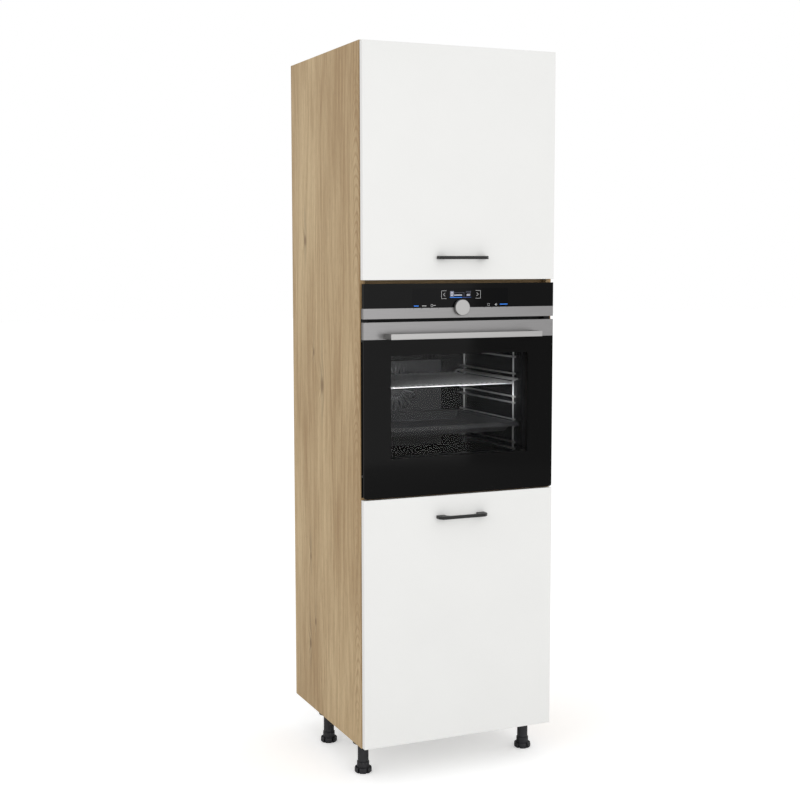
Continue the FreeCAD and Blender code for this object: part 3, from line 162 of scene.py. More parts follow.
@dataclass(frozen=True)
class Coated(Finish):
    """Paint, moulded plastic or foil: two close tones in soft patches and a fine skin of bumps."""

    tone: str = "808080"
    patch: float = 60.0
    grain: float = 0.6
    height: float = 0.02
    unevenness: float = 0.04

    def pattern(self, tree: Tree, shader: Node, output: Node) -> None:
        """Mixes the tones in patches and raises the grain.

        Args:
            tree: the material's tree.
            shader: its main shader.
            output: its output; not used here.
        """
        spot = self.place(tree, (1, 1, 1))
        patch = add(tree, "TexNoise", {"Vector": spot, "Scale": 1000 / self.patch, "Detail": 3.0})
        mix = add(tree, "Mix", {0: patch, 6: linear(self.colour), 7: linear(self.tone)}, data_type="RGBA")
        tree.links.new(mix.outputs[2], shader.inputs["Base Color"])
        skin = add(tree, "TexNoise", {"Vector": spot, "Scale": 1000 / self.grain, "Detail": 2.0})
        gloss = add(tree, "MapRange", {0: skin, 3: self.roughness - self.unevenness,
                                       4: self.roughness + self.unevenness})
        bump = add(tree, "Bump", {"Height": skin, "Distance": self.height * MM})
        tree.links.new(gloss.outputs[0], shader.inputs["Roughness"])
        tree.links.new(bump.outputs[0], shader.inputs["Normal"])


@dataclass(frozen=True)
class Banded(Coated):
    """Coated board whose front edge carries a band of another decor."""

    band: str = "a98c63"
    front: float = -245.4
    fibre: float = 2.5

    def pattern(self, tree: Tree, shader: Node, output: Node) -> None:
        """Draws the coating, then the band with its long fibres where the board faces forward.

        Args:
            tree: the material's tree.
            shader: its main shader.
            output: its output.
        """
        super().pattern(tree, shader, output)
        coat = shader.inputs["Base Color"].links[0].from_socket
        parts = add(tree, "SeparateXYZ", {0: self.place(tree, (1, 1, 1))})
        fibre = add(tree, "TexNoise", {"Vector": self.place(tree, (0.03, 1, 1)), "Scale": 1000 / self.fibre})
        shade = add(tree, "MapRange", {0: fibre, 1: 0.3, 2: 0.7, 3: 0.85, 4: 1.12})
        wood = add(tree, "VectorMath", {0: linear(self.band)[:3], 3: shade}, operation="SCALE")
        edge = add(tree, "Math", {0: parts.outputs[1], 1: self.front * MM}, operation="LESS_THAN")
        mix = add(tree, "Mix", {0: edge, 6: coat, 7: wood}, data_type="RGBA")
        tree.links.new(mix.outputs[2], shader.inputs["Base Color"])


@dataclass(frozen=True)
class Brushed(Finish):
    """Sheet or bar metal brushed along one axis: fine lines that shift tone and gloss."""

    along: Axis = Axis.X
    line: float = 0.5
    length: float = 60.0
    depth: float = 0.004
    contrast: float = 0.16
    unevenness: float = 0.07

    def pattern(self, tree: Tree, shader: Node, output: Node) -> None:
        """Draws the brushing lines.

        Args:
            tree: the material's tree.
            shader: its main shader.
            output: its output; not used here.
        """
        stretch = [1.0, 1.0, 1.0]
        stretch[self.along.value] = self.line / self.length
        spot = self.place(tree, tuple(stretch))
        lines = add(tree, "TexNoise", {"Vector": spot, "Scale": 1000 / self.line, "Detail": 2.0})
        shade = add(tree, "MapRange", {0: lines, 1: 0.25, 2: 0.75, 3: 1 - self.contrast,
                                       4: 1 + self.contrast})
        tint = add(tree, "VectorMath", {0: linear(self.colour)[:3], 3: shade}, operation="SCALE")
        gloss = add(tree, "MapRange", {0: lines, 3: self.roughness - self.unevenness,
                                       4: self.roughness + self.unevenness})
        bump = add(tree, "Bump", {"Height": lines, "Distance": self.depth * MM})
        tree.links.new(tint.outputs[0], shader.inputs["Base Color"])
        tree.links.new(gloss.outputs[0], shader.inputs["Roughness"])
        tree.links.new(bump.outputs[0], shader.inputs["Normal"])


@dataclass(frozen=True)
class Spangled(Finish):
    """Hot-dip zinc coat: crystals a few millimetres wide, each with its own tone."""

    crystal: float = 9.0
    contrast: float = 0.25
    unevenness: float = 0.08

    def pattern(self, tree: Tree, shader: Node, output: Node) -> None:
        """Gives each crystal its tone and gloss.

        Args:
            tree: the material's tree.
            shader: its main shader.
            output: its output; not used here.
        """
        spot = self.place(tree, (1, 1, 1))
        cells = add(tree, "TexVoronoi", {"Vector": spot, "Scale": 1000 / self.crystal})
        tone = add(tree, "SeparateColor", {0: cells.outputs["Color"]})
        shade = add(tree, "MapRange", {0: tone, 3: 1 - self.contrast, 4: 1 + self.contrast})
        tint = add(tree, "VectorMath", {0: linear(self.colour)[:3], 3: shade}, operation="SCALE")
        gloss = add(tree, "MapRange", {0: tone.outputs[1], 3: self.roughness - self.unevenness,
                                       4: self.roughness + self.unevenness})
        tree.links.new(tint.outputs[0], shader.inputs["Base Color"])
        tree.links.new(gloss.outputs[0], shader.inputs["Roughness"])


@dataclass(frozen=True)
class Enamelled(Finish):
    """Vitreous enamel: dark glass fired on steel, with pin-point pale specks and a faint orange peel."""

    speck: str = "8a8d92"
    spacing: float = 3.0
    peel: float = 4.0
    speck_radius: float = 0.08
    wave_height: float = 0.02

    def pattern(self, tree: Tree, shader: Node, output: Node) -> None:
        """Scatters the specks and waves the skin.

        Args:
            tree: the material's tree.
            shader: its main shader.
            output: its output; not used here.
        """
        spot = self.place(tree, (1, 1, 1))
        cells = add(tree, "TexVoronoi", {"Vector": spot, "Scale": 1000 / self.spacing})
        mask = add(tree, "MapRange", {0: cells.outputs["Distance"], 1: self.speck_radius + 0.02,
                                      2: self.speck_radius - 0.02, 3: 0.0, 4: 0.7})
        mix = add(tree, "Mix", {0: mask, 6: linear(self.colour), 7: linear(self.speck)}, data_type="RGBA")
        wave = add(tree, "TexNoise", {"Vector": spot, "Scale": 1000 / self.peel, "Detail": 1.0})
        bump = add(tree, "Bump", {"Height": wave, "Distance": self.wave_height * MM})
        tree.links.new(mix.outputs[2], shader.inputs["Base Color"])
        tree.links.new(bump.outputs[0], shader.inputs["Normal"])


@dataclass(frozen=True)
class OakDecor(Finish):
    """Melamine foil with an oak print, grain upright: flat figure, fibres, pores and a few knots.

    A knot is its depth and height on the side, half its width and half its height.
    """

    light: str = "cbb289"
    dark: str = "a3855c"
    pore: str = "7d623f"
    # Front edge band's colour: its own darker oak tone with painted shade in it.
    edge: str = "a1835a"
    grey: str = "85775c"
    figure: float = 105.0
    rings: float = 62.0
    ring_contrast: float = 0.14
    fibre: float = 4.0
    fibre_contrast: float = 0.26
    streak: float = 13.0
    streak_contrast: float = 0.20
    pore_width: float = 1.1
    pore_depth: float = 0.05
    bend: float = 200.0
    waviness: float = 18.0
    cloud: float = 181.8
    flame_place: float = -222.0
    flame_width: float = 24.0
    flame_pitch: float = 34.0
    flame_bow: float = 7.0
    flame_wobble: float = 26.0
    flame_bend: float = 142.86
    flame_group: float = 476.2
    flame_depth: float = 0.42
    front: float = -245.4
    knots: tuple[tuple[float, float, float, float], ...] = ()

    def sums(self, tree: Tree, *values: Socket) -> Socket:
        """Adds values up and keeps the sum between 0 and 1.

        Args:
            tree: the material's tree.
            values: the values.

        Returns:
            The socket with the sum.
        """
        total = values[0]
        for value in values[1:]:
            total = add(tree, "Math", {0: total, 1: value}, operation="ADD").outputs[0]
        return add(tree, "Clamp", {0: total}).outputs[0]

    def near(self, tree: Tree, spot: Socket, place: Pair, reach: Pair) -> Socket:
        """Distance from a place on the side, 1 at the rim of an oval round it.

        Args:
            tree: the material's tree.
            spot: the point on the piece.
            place: depth and height of the oval's middle, in millimetres.
            reach: its half width and half height.

        Returns:
            The socket with the distance.
        """
        centre = (0.0, place[0] * MM, place[1] * MM)
        offset = add(tree, "VectorMath", {0: spot, 1: centre}, operation="SUBTRACT")
        scaled = add(tree, "VectorMath", {0: offset, 1: (0, 1000 / reach[0], 1000 / reach[1])},
                     operation="MULTIPLY")
        return add(tree, "VectorMath", {0: scaled}, operation="LENGTH").outputs["Value"]

    def lines(self, tree: Tree, spot: Socket, width: float, pull: float, low: float, high: float) -> Socket:
        """Upright lines of one width.

        Args:
            tree: the material's tree.
            spot: the point, bent round the knots.
            width: how wide a line is, in millimetres.
            pull: how much of the height the lines see; less makes them longer.
            low: value in the palest line.
            high: value in the darkest line.

        Returns:
            The socket with the value.
        """
        upright = add(tree, "VectorMath", {0: spot, 1: (1, 1, pull)}, operation="MULTIPLY")
        noise = add(tree, "TexNoise", {"Vector": upright, "Scale": 1000 / width, "Detail": 2.0})
        return add(tree, "MapRange", {0: noise, 1: 0.3, 2: 0.7, 3: low, 4: high}).outputs[0]

    def flames(self, tree: Tree, parts: Node) -> Socket:
        """Nested arcs where the print shows the tree's rings cut flat, along the front edge.

        Args:
            tree: the material's tree.
            parts: the point's three coordinates.

        Returns:
            The socket with the arcs' darkness.
        """
        away = add(tree, "Math", {0: parts.outputs[1], 1: 1000 / self.flame_width,
                                  2: -self.flame_place / self.flame_width}, operation="MULTIPLY_ADD")
        bow = add(tree, "Math", {0: away, 1: away}, operation="MULTIPLY")
        wobble = add(tree, "TexNoise", {"Vector": self.place(tree, (1, 1, 1)),
                                        "Scale": 1000 / self.flame_bend, "Detail": 2.0})
        phase = add(tree, "Math", {0: parts.outputs[2], 1: 2000 * math.pi / self.flame_pitch},
                    operation="MULTIPLY")
        bent = add(tree, "Math", {0: bow, 1: self.flame_bow, 2: phase}, operation="MULTIPLY_ADD")
        shaken = add(tree, "Math", {0: wobble, 1: self.flame_wobble, 2: bent}, operation="MULTIPLY_ADD")
        wave = add(tree, "Math", {0: shaken}, operation="SINE")
        inside = add(tree, "MapRange", {0: bow, 1: 0.6, 2: 1.6, 3: 1.0, 4: 0.0},
                     interpolation_type="SMOOTHSTEP")
        level = add(tree, "TexNoise", {"Vector": self.place(tree, (0, 0, 1)),
                                       "Scale": 1000 / self.flame_group, "Detail": 0.0})
        where = add(tree, "MapRange", {0: level, 1: 0.42, 2: 0.56, 3: 0.25, 4: 1.0})
        arcs = add(tree, "MapRange", {0: wave, 1: 0.1, 2: 1.0, 3: 0.0, 4: self.flame_depth})
        masked = add(tree, "Math", {0: arcs, 1: inside}, operation="MULTIPLY")
        return add(tree, "Math", {0: masked, 1: where}, operation="MULTIPLY").outputs[0]

    def knotted(self, tree: Tree, spot: Socket) -> tuple[Socket, Socket, Socket]:
        """Bends the grain round each knot.

        Args:
            tree: the material's tree.
            spot: the point on the piece.

        Returns:
            The bent point, the knots' dark cores and the grey trails over them.
        """
        bend = add(tree, "TexNoise", {"Vector": self.place(tree, (1, 1, 0.35)), "Scale": 1000 / self.bend,
                                      "Detail": 2.0})
        across = add(tree, "MapRange", {0: bend, 3: -self.waviness * MM, 4: self.waviness * MM}).outputs[0]
        cores, trails = [], []
        for wide, up, half, tall in self.knots:
            far = self.near(tree, spot, (wide, up), (half, tall))
            push = add(tree, "MapRange", {0: far, 1: 0.0, 2: 3.5, 3: half * MM * 1.4, 4: 0.0},
                       interpolation_type="SMOOTHSTEP")
            across = add(tree, "Math", {0: across, 1: push}, operation="ADD").outputs[0]
            cores.append(add(tree, "MapRange", {0: far, 1: 0.25, 2: 1.2, 3: 0.8, 4: 0.0},
                             interpolation_type="SMOOTHSTEP").outputs[0])
            over = self.near(tree, spot, (wide, up + tall), (half * 1.3, tall * 7))
            trails.append(add(tree, "MapRange", {0: over, 1: 0.2, 2: 1.0, 3: 0.55, 4: 0.0},
                              interpolation_type="SMOOTHSTEP").outputs[0])
        shift = add(tree, "CombineXYZ", {1: across})
        flow = add(tree, "VectorMath", {0: spot, 1: shift}, operation="ADD").outputs[0]
        return flow, self.sums(tree, *cores), self.sums(tree, *trails)

    def grain(self, tree: Tree, flow: Socket, parts: Node) -> Socket:
        """Adds up soft clouds, rings, fibres, streaks and flames.

        Args:
            tree: the material's tree.
            flow: the point, bent round the knots.
            parts: the unbent point's three coordinates.

        Returns:
            The socket with the darkness of the wood, 0 to 1.
        """
        upright = add(tree, "VectorMath", {0: flow, 1: (1, 1, 0.07)}, operation="MULTIPLY")
        rings = add(tree, "TexNoise", {"Vector": upright, "Scale": 1000 / self.figure, "Detail": 1.0,
                                       "Roughness": 0.4})
        turns = add(tree, "Math", {0: rings, 1: self.rings}, operation="MULTIPLY")
        band = add(tree, "Math", {0: turns}, operation="SINE")
        ringed = add(tree, "MapRange", {0: band, 1: -1.0, 2: 1.0, 3: -self.ring_contrast,
                                        4: self.ring_contrast})
        cloud = add(tree, "TexNoise", {"Vector": self.place(tree, (1, 1, 0.22)), "Scale": 1000 / self.cloud,
                                       "Detail": 2.0})
        cloudy = add(tree, "MapRange", {0: cloud, 1: 0.3, 2: 0.7, 3: 0.06, 4: 0.90})
        fibre = self.lines(tree, flow, self.fibre, 0.03, -self.fibre_contrast, self.fibre_contrast)
        streak = self.lines(tree, flow, self.streak, 0.05, -self.streak_contrast, self.streak_contrast)
        return self.sums(tree, cloudy.outputs[0], ringed.outputs[0], fibre, streak, self.flames(tree, parts))

    def pattern(self, tree: Tree, shader: Node, output: Node) -> None:
        """Draws the oak print and the plainer edge band on the front edge, darker partly by painted shade.

        Args:
            tree: the material's tree.
            shader: its main shader.
            output: its output; not used here.
        """
        spot = self.place(tree, (1, 1, 1))
        parts = add(tree, "SeparateXYZ", {0: spot})
        flow, cores, trails = self.knotted(tree, spot)
        broken = add(tree, "Math", {0: trails, 1: self.lines(tree, flow, self.streak, 0.05, 0.1, 1.0)},
                     operation="MULTIPLY")
        pores = self.lines(tree, flow, self.pore_width, 0.045, -0.6, 0.42)
        dash = add(tree, "Clamp", {0: pores})
        wood = add(tree, "Mix", {0: self.grain(tree, flow, parts), 6: linear(self.light),
                                 7: linear(self.dark)}, data_type="RGBA")
        for amount, colour in ((broken, self.grey), (dash, self.pore), (cores, self.pore)):
            wood = add(tree, "Mix", {0: amount, 6: wood.outputs[2], 7: linear(colour)}, data_type="RGBA")
        edge = add(tree, "Math", {0: parts.outputs[1], 1: self.front * MM}, operation="LESS_THAN")
        # The front edge face takes the band's darker tone, part of which is painted shade.
        band_and_shade = add(tree, "Mix", {0: 0.6, 6: wood.outputs[2], 7: linear(self.edge)}, data_type="RGBA")
        final = add(tree, "Mix", {0: edge, 6: wood.outputs[2], 7: band_and_shade.outputs[2]}, data_type="RGBA")
        bump = add(tree, "Bump", {"Height": pores, "Distance": self.pore_depth * MM, "Strength": 0.6})
        tree.links.new(final.outputs[2], shader.inputs["Base Color"])
        tree.links.new(bump.outputs[0], shader.inputs["Normal"])


@dataclass(frozen=True)
class PrintedGlass(Finish):
    """Float glass printed black from behind, with a clear window or a darker display field in the print."""

    clear: Edges | None = None
    tint: str = "f3f3f3"
    display: Edges | None = None
    film: str = "050506"
    haze: float = 71.43
    sheen: float = 1.12

    def zone(self, tree: Tree, edges: Edges) -> Socket:
        """Mask that is 1 inside a rectangle of the pane.

        Args:
            tree: the material's tree.
            edges: the rectangle, in millimetres.

        Returns:
            The socket with the mask.
        """
        parts = add(tree, "SeparateXYZ", {0: self.place(tree, (1000, 1000, 1000))})
        left, bottom, right, top = edges
        sides = [add(tree, "Math", {0: parts.outputs[index], 1: (low + high) / 2, 2: (high - low) / 2},
                     operation="COMPARE").outputs[0]
                 for index, low, high in ((0, left, right), (2, bottom, top))]
        return add(tree, "Math", {0: sides[0], 1: sides[1]}, operation="MULTIPLY").outputs[0]

    def pattern(self, tree: Tree, shader: Node, output: Node) -> None:
        """Leaves the window clear, or darkens the display field.

        Args:
            tree: the material's tree.
            shader: its main shader.
            output: its output.
        """
        haze = add(tree, "TexNoise", {"Vector": self.place(tree, (1, 1, 1)), "Scale": 1000 / self.haze,
                                      "Detail": 2.0})
        gloss = add(tree, "MapRange", {0: haze, 3: self.roughness, 4: self.roughness + 0.03})
        tree.links.new(gloss.outputs[0], shader.inputs["Roughness"])
        if self.display is not None:
            mix = add(tree, "Mix", {0: self.zone(tree, self.display), 6: linear(self.colour),
                                    7: linear(self.film)}, data_type="RGBA")
            tree.links.new(mix.outputs[2], shader.inputs["Base Color"])
        if self.clear is not None:
            through = add(tree, "BsdfTransparent", {0: linear(self.tint)})
            sheen = add(tree, "BsdfGlossy", {0: linear("ffffff"), "Roughness": self.roughness})
            edge_on = add(tree, "Fresnel", {"IOR": self.sheen})
            pane = add(tree, "MixShader", {0: edge_on, 1: through, 2: sheen})
            both = add(tree, "MixShader", {0: self.zone(tree, self.clear), 1: shader, 2: pane})
            tree.links.new(both.outputs[0], output.inputs["Surface"])


@dataclass(frozen=True)
class Pane(Finish):
    """Plain clear float glass: lets the inside show, with a faint grey tint."""

    smear: float = 50.0
    sheen: float = 1.1

    def pattern(self, tree: Tree, shader: Node, output: Node) -> None:
        """Lets light through and keeps a thin reflection.

        Args:
            tree: the material's tree.
            shader: its main shader.
            output: its output.
        """
        smear = add(tree, "TexNoise", {"Vector": self.place(tree, (1, 1, 1)), "Scale": 1000 / self.smear})
        gloss = add(tree, "MapRange", {0: smear, 3: self.roughness, 4: self.roughness + 0.04})
        through = add(tree, "BsdfTransparent", {0: linear(self.colour)})
        sheen = add(tree, "BsdfGlossy", {0: linear("ffffff"), "Roughness": gloss})
        edge_on = add(tree, "Fresnel", {"IOR": self.sheen})
        pane = add(tree, "MixShader", {0: edge_on, 1: through, 2: sheen})
        tree.links.new(pane.outputs[0], output.inputs["Surface"])


@dataclass(frozen=True)
class Lit(Finish):
    """Display element lit from behind: its colour glows a little unevenly over its length."""

    power: float = 1.0
    cell: float = 11.11

    def pattern(self, tree: Tree, shader: Node, output: Node) -> None:
        """Makes the element glow.

        Args:
            tree: the material's tree.
            shader: its main shader.
            output: its output; not used here.
        """
        uneven = add(tree, "TexNoise", {"Vector": self.place(tree, (1, 1, 1)), "Scale": 1000 / self.cell})
        level = add(tree, "MapRange", {0: uneven, 3: self.power * 0.8, 4: self.power * 1.1})
        shader.inputs["Emission Color"].default_value = linear(self.colour)
        tree.links.new(level.outputs[0], shader.inputs["Emission Strength"])


# Oak-effect melamine on chipboard, pressed with a fine pore: warm, dull, grain upright, six small knots.
OAK = OakDecor("oak_melamine_foil", "b8a07e", 0.55, specular=0.35,
               knots=((193.0, 1538.0, 13.0, 20.0), (55.0, 1110.0, 16.0, 30.0), (125.0, 1205.0, 8.0, 14.0),
                      (125.0, 379.0, 9.0, 14.0), (172.0, 300.0, 12.0, 18.0), (164.0, 575.0, 8.0, 14.0)))
# White melamine on chipboard: the dull, slightly warm white of cabinet insides.
WHITE_BOARD = Coated("white_melamine", "e6e5e1", 0.5, specular=0.3, tone="dddcd8", patch=90, grain=1.2)
# The same boards with an oak-effect band on the front edge: a warm line round each opening.
BANDED_BOARD = Banded("banded_white_melamine", "e6e5e1", 0.5, specular=0.3, tone="dddcd8", patch=90,
                      grain=1.2)
# The shelf over the oven stands back from the front, so its band begins deeper in.
SHELF_BOARD = Banded("banded_shelf_melamine", "e6e5e1", 0.5, specular=0.3, tone="dddcd8", patch=90,
                     grain=1.2, front=-220.4)
# Thin hardboard, white-lacquered inside: flatter and greyer than the boards.
BACK_BOARD = Coated("lacquered_hardboard", "dcdad5", 0.6, specular=0.3, tone="cfccc5", patch=40, grain=1.6,
                    height=0.05)
# Lacquered MDF fronts: even white with a satin skin; the tones shift only a little.
WHITE_FRONT = Coated("white_lacquered_mdf", "f0f0ee", 0.42, specular=0.3, tone="ebebe9", patch=220, grain=0.9,
                     height=0.008)
# Moulded polypropylene legs and mains inlet: soft black with a dull eroded texture.
BLACK_PLASTIC = Coated("moulded_polypropylene", "26262a", 0.5, specular=0.4, tone="1e1e21", patch=25,
                       grain=0.7, height=0.05)
# Powder-coated steel handles: matt black, fine orange peel that breaks the highlight.
BLACK_METAL = Coated("black_powder_coat", "1e1e1d", 0.48, specular=0.35, tone="191918", patch=18, grain=0.8,
                     height=0.03)
# Nickel-plated pressed steel of hinges and brackets: bright, lightly drawn.
HINGE_STEEL = Brushed("nickel_plated_steel", "b9b7b2", 0.3, 1.0, line=0.8, length=12, contrast=0.08)
# Die-cast zinc cams, pins and screws: grey, slightly mottled.
ZINC = Spangled("die_cast_zinc", "9fa1a2", 0.42, 1.0, crystal=2.5, contrast=0.12)
# Painted strut tubes: dark grey enamel paint over drawn steel.
STRUT_TUBE = Coated("grey_painted_steel_tube", "4a4c4f", 0.35, tone="434548", patch=30, grain=0.9,
                    height=0.01)
# Hard-chromed piston rods: mirror bright with faint rings from grinding.
ROD_CHROME = Brushed("hard_chromed_rod", "c9cacc", 0.12, 1.0, line=0.4, length=4, contrast=0.05)
# Soft clear bumpers turned milky: pale and a little waxy.
SOFT_PAD = Coated("milky_polyurethane", "d8d8d2", 0.45, specular=0.4, tone="cbcbc4", patch=4, grain=0.5,
                  height=0.01)
# Brushed stainless strips: grey with long horizontal lines, drawn 0.9 mm wide so that they show.
OVEN_STEEL = Brushed("brushed_stainless_steel", "868585", 0.36, 1.0, line=0.9, length=90, contrast=0.10)
# Brushed aluminium bar handle: paler and smoother than the strips, its lines drawn 0.7 mm wide to show.
BAR_ALUMINIUM = Brushed("brushed_aluminium", "a3a2a1", 0.38, 1.0, line=0.7, length=120, contrast=0.06)
# Knob turned from the same metal: satin.
KNOB_ALUMINIUM = Brushed("satin_turned_aluminium", "a5a4a3", 0.42, 1.0, line=0.5, length=16, contrast=0.05)
# Door glass, printed black behind, with the oven's window left clear.
DOOR_GLASS = PrintedGlass("black_printed_door_glass", "0b0b0b", 0.04, specular=0.07,
                          clear=(-215.0, 927.0, 215.0, 1215.0))
# Control panel glass, printed black behind, with the darker film of the display.
PANEL_GLASS = PrintedGlass("black_printed_panel_glass", "0b0b0b", 0.05, specular=0.07,
                           display=(-151.0, 1346.0, 149.0, 1400.0))
# Inner door glass: clear, lightly tinted.
CLEAR_GLASS = Pane("clear_float_glass", "f5f5f5", 0.03)
# Cavity walls: dark glossy enamel with pin-point specks.
ENAMEL = Enamelled("black_vitreous_enamel", "111214", 0.25, specular=0.3, speck="34363a")
# Casing, fan, its motor and the oven door's hinge arms: zinc-coated sheet with a visible spangle.
GALVANISED = Spangled("galvanised_sheet", "a4a7a9", 0.4, 1.0, contrast=0.13)
# Frame behind the door, its seat and the control housing: black stove enamel, nearly matt.
BLACK_SHEET = Coated("black_enamelled_sheet", "0c0c0d", 0.45, specular=0.2, tone="0a0a0b", patch=30,
                     grain=1.0, height=0.01)
# Fan cover and baking tray: lighter grey enamel than the cavity's.
GREY_ENAMEL = Enamelled("mid_grey_enamel", "4c4d4f", 0.3, specular=0.4, speck="68696b")
# Chromed wire racks and shelf: bright, faint die lines.
WIRE_CHROME = Brushed("chrome_plated_wire", "f2f3f4", 0.3, 0.7, along=Axis.Y, length=20, contrast=0.05)
# Nickel-alloy heater sheath, browned by heat.
HEATER = Coated("browned_heater_sheath", "4b4541", 0.45, metallic=0.8, tone="3a3532", patch=14, grain=0.5,
                height=0.01)
# Glass-fibre circuit board with green solder mask.
BOARD_GREEN = Coated("green_circuit_board", "1f5a35", 0.35, tone="194c2c", patch=7, grain=0.9, height=0.02)
# Pressed lamp cover: frosted heat-proof glass.
LAMP_GLASS = Coated("frosted_lamp_glass", "cfd2cf", 0.3, tone="c4c8c5", patch=5, grain=0.8, height=0.03)
# Door seal: dark woven-reinforced silicone.
SEAL_RUBBER = Coated("silicone_seal", "2c2d30", 0.6, specular=0.3, tone="242528", patch=6, grain=0.9,
                     height=0.05)
# Display elements lit from behind: bright and dim blue bars, pale and grey signs of the screen.
BLUE_LIGHT = Lit("blue_backlight", "1e74d8", 0.4, power=0.6)
DIM_LIGHT = Lit("dim_blue_backlight", "1b3f80", 0.4, power=0.5)
SCREEN_LIGHT = Lit("white_backlight", "c9cbd6", 0.4, power=0.75)
SCREEN_GREY = Lit("grey_backlight", "565966", 0.4, power=0.5)
# White screen print of the icons: flat, dull against the glass.
WHITE_PRINT = Coated("white_screen_print", "c6c6c6", 0.5, tone="b6b6b6", patch=3, grain=0.5, height=0.01)
# Black ink of the touch marks: barely paler than the glass, but dull.
BLACK_INK = Coated("black_touch_mark", "101010", 0.5, tone="171717", patch=3, grain=0.5, height=0.01)


# ---------------------------------------------------------------- meshes

class Shape:
    """Mesh of one piece, drawn in millimetres in the part's frame."""

    def __init__(self) -> None:
        """Starts an empty mesh."""
        self.mesh = bmesh.new()

    def plate(self, outline: list[Pair], near: float, far: float, finish: int = 0) -> None:
        """Gives a flat outline that faces -Y its thickness.

        Args:
            outline: the corners, across and up.
            near: front level.
            far: back level.
            finish: number of the finish in the piece's list.
        """
        front, back = [[self.mesh.verts.new(Vector((across, level, up)) * MM) for across, up in outline]
                       for level in (near, far)]
        faces = [self.mesh.faces.new((front[index - 1], front[index], back[index], back[index - 1]))
                 for index in range(len(outline))]
        for face in faces + [self.mesh.faces.new(front), self.mesh.faces.new(back)]:
            face.material_index = finish

    def stroke(self, points: list[Pair], width: float, near: float, far: float, finish: int = 0) -> None:
        """Draws a line of constant width on a plane that faces -Y.

        Args:
            points: where the line runs, across and up.
            width: its width.
            near: front level.
            far: back level.
            finish: number of the finish.
        """
        for start, end in zip(points, points[1:]):
            run = Vector((end[0] - start[0], end[1] - start[1]))
            run.normalize()
            side = Vector((-run.y, run.x)) * width / 2
            first, last = Vector(start) - run * width / 2, Vector(end) + run * width / 2
            corners = [first + side, last + side, last - side, first - side]
            self.plate([(corner.x, corner.y) for corner in corners], near, far, finish)

    def done(self, name: str, body: str, *finishes: Finish) -> None:
        """Turns the mesh to a piece that rides on a body.

        Args:
            name: the piece's name.
            body: the body that carries it.
            finishes: its finishes, in the order of the numbers used.
        """
        bmesh.ops.recalc_face_normals(self.mesh, faces=self.mesh.faces)
        data = bpy.data.meshes.new(name)
        for face in self.mesh.faces:
            face.smooth = True
        self.mesh.to_mesh(data)
        self.mesh.free()
        data.set_sharp_from_angle(angle=math.radians(SMOOTH_ANGLE))
        for finish in finishes:
            data.materials.append(finish.make())
        piece = bpy.data.objects.new(name, data)
        bpy.context.scene.collection.objects.link(piece)
        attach(piece, body)
        log.info("made %s on %s", name, body)


def round_edges(part: bpy.types.Object, width: float) -> None:
    """Rounds a part's sharp edges, so that they catch light as real ones do.

    The imported mesh has split corners and flat triangles, which are joined first.

    Args:
        part: the part.
        width: the rounding, in millimetres.
    """
    part.modifiers.new("weld", "WELD").merge_threshold = WELD_REACH
    flat = part.modifiers.new("flat_faces", "DECIMATE")
    flat.decimate_type = "DISSOLVE"
    flat.angle_limit = math.radians(FLAT_ANGLE)
    bevel = part.modifiers.new("rounding", "BEVEL")
    bevel.width = width * MM
    bevel.segments = EASE_STEPS
    bevel.limit_method = "ANGLE"
    bevel.angle_limit = math.radians(SHARP_ANGLE)
    bevel.use_clamp_overlap = False
    bevel.harden_normals = True


def dress(finish: Finish, *nodes: str, ease: float = 0.0) -> None:
    """Gives parts of the frame their finish.

    Args:
        finish: the finish.
        nodes: names of the parts.
        ease: rounding of their edges, in millimetres.
    """
    for name in nodes:
        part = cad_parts[name]
        if not part.material_slots:
            part.data.materials.append(finish.make())
        for slot in part.material_slots:
            slot.material = finish.make()
        if ease:
            round_edges(part, ease)
        part["dressed"] = finish.name
        log.info("dressed %s in %s", name, finish.name)


# ---------------------------------------------------------------- sub-assemblies

@dataclass
class Carcass:
    """Sides, shelves, backs and rail."""

    ease: float = 0.5

    def build(self) -> None:
        """Dresses the boards and fittings."""
        dress(OAK, "left_side_panel", "right_side_panel", ease=self.ease)
        dress(BANDED_BOARD, "top_panel", "bottom_panel", "oven_shelf", ease=self.ease)
        dress(SHELF_BOARD, "niche_top_shelf", ease=self.ease)
        dress(WHITE_BOARD, "upper_loose_shelf", "lower_loose_shelf", "wall_rail", ease=self.ease)
        dress(BACK_BOARD, "upper_back_panel", "lower_back_panel")
        dress(ZINC, "cam_fittings", "shelf_pins")


@dataclass
class Legs:
    """Four screw-out legs."""

    corners: tuple[str, ...] = ("front_left", "front_right", "rear_left", "rear_right")

    def build(self) -> None:
        """Dresses sockets and feet."""
        dress(BLACK_PLASTIC, "leg_sockets", *[f"foot_{corner}" for corner in self.corners])


@dataclass
class CabinetFronts:
    """Lift-up flap and hinged door, each with its bow handle, cup hinges and bumpers."""

    ease: float = 0.9

    def build(self) -> None:
        """Dresses both fronts and their ironmongery."""
        dress(WHITE_FRONT, "flap_panel", "door_panel", ease=self.ease)
        dress(BLACK_METAL, "flap_handle", "door_handle", ease=0.8)
        dress(HINGE_STEEL, "flap_hinge_cups", "door_hinge_cups", "flap_hinge_arms", "door_hinge_arms",
              "strut_side_brackets", "flap_strut_brackets")
        dress(SOFT_PAD, "flap_bumpers", "door_bumpers")
        dress(STRUT_TUBE, "strut_cylinder_left", "strut_cylinder_right")
        dress(ROD_CHROME, "strut_rod_left", "strut_rod_right")


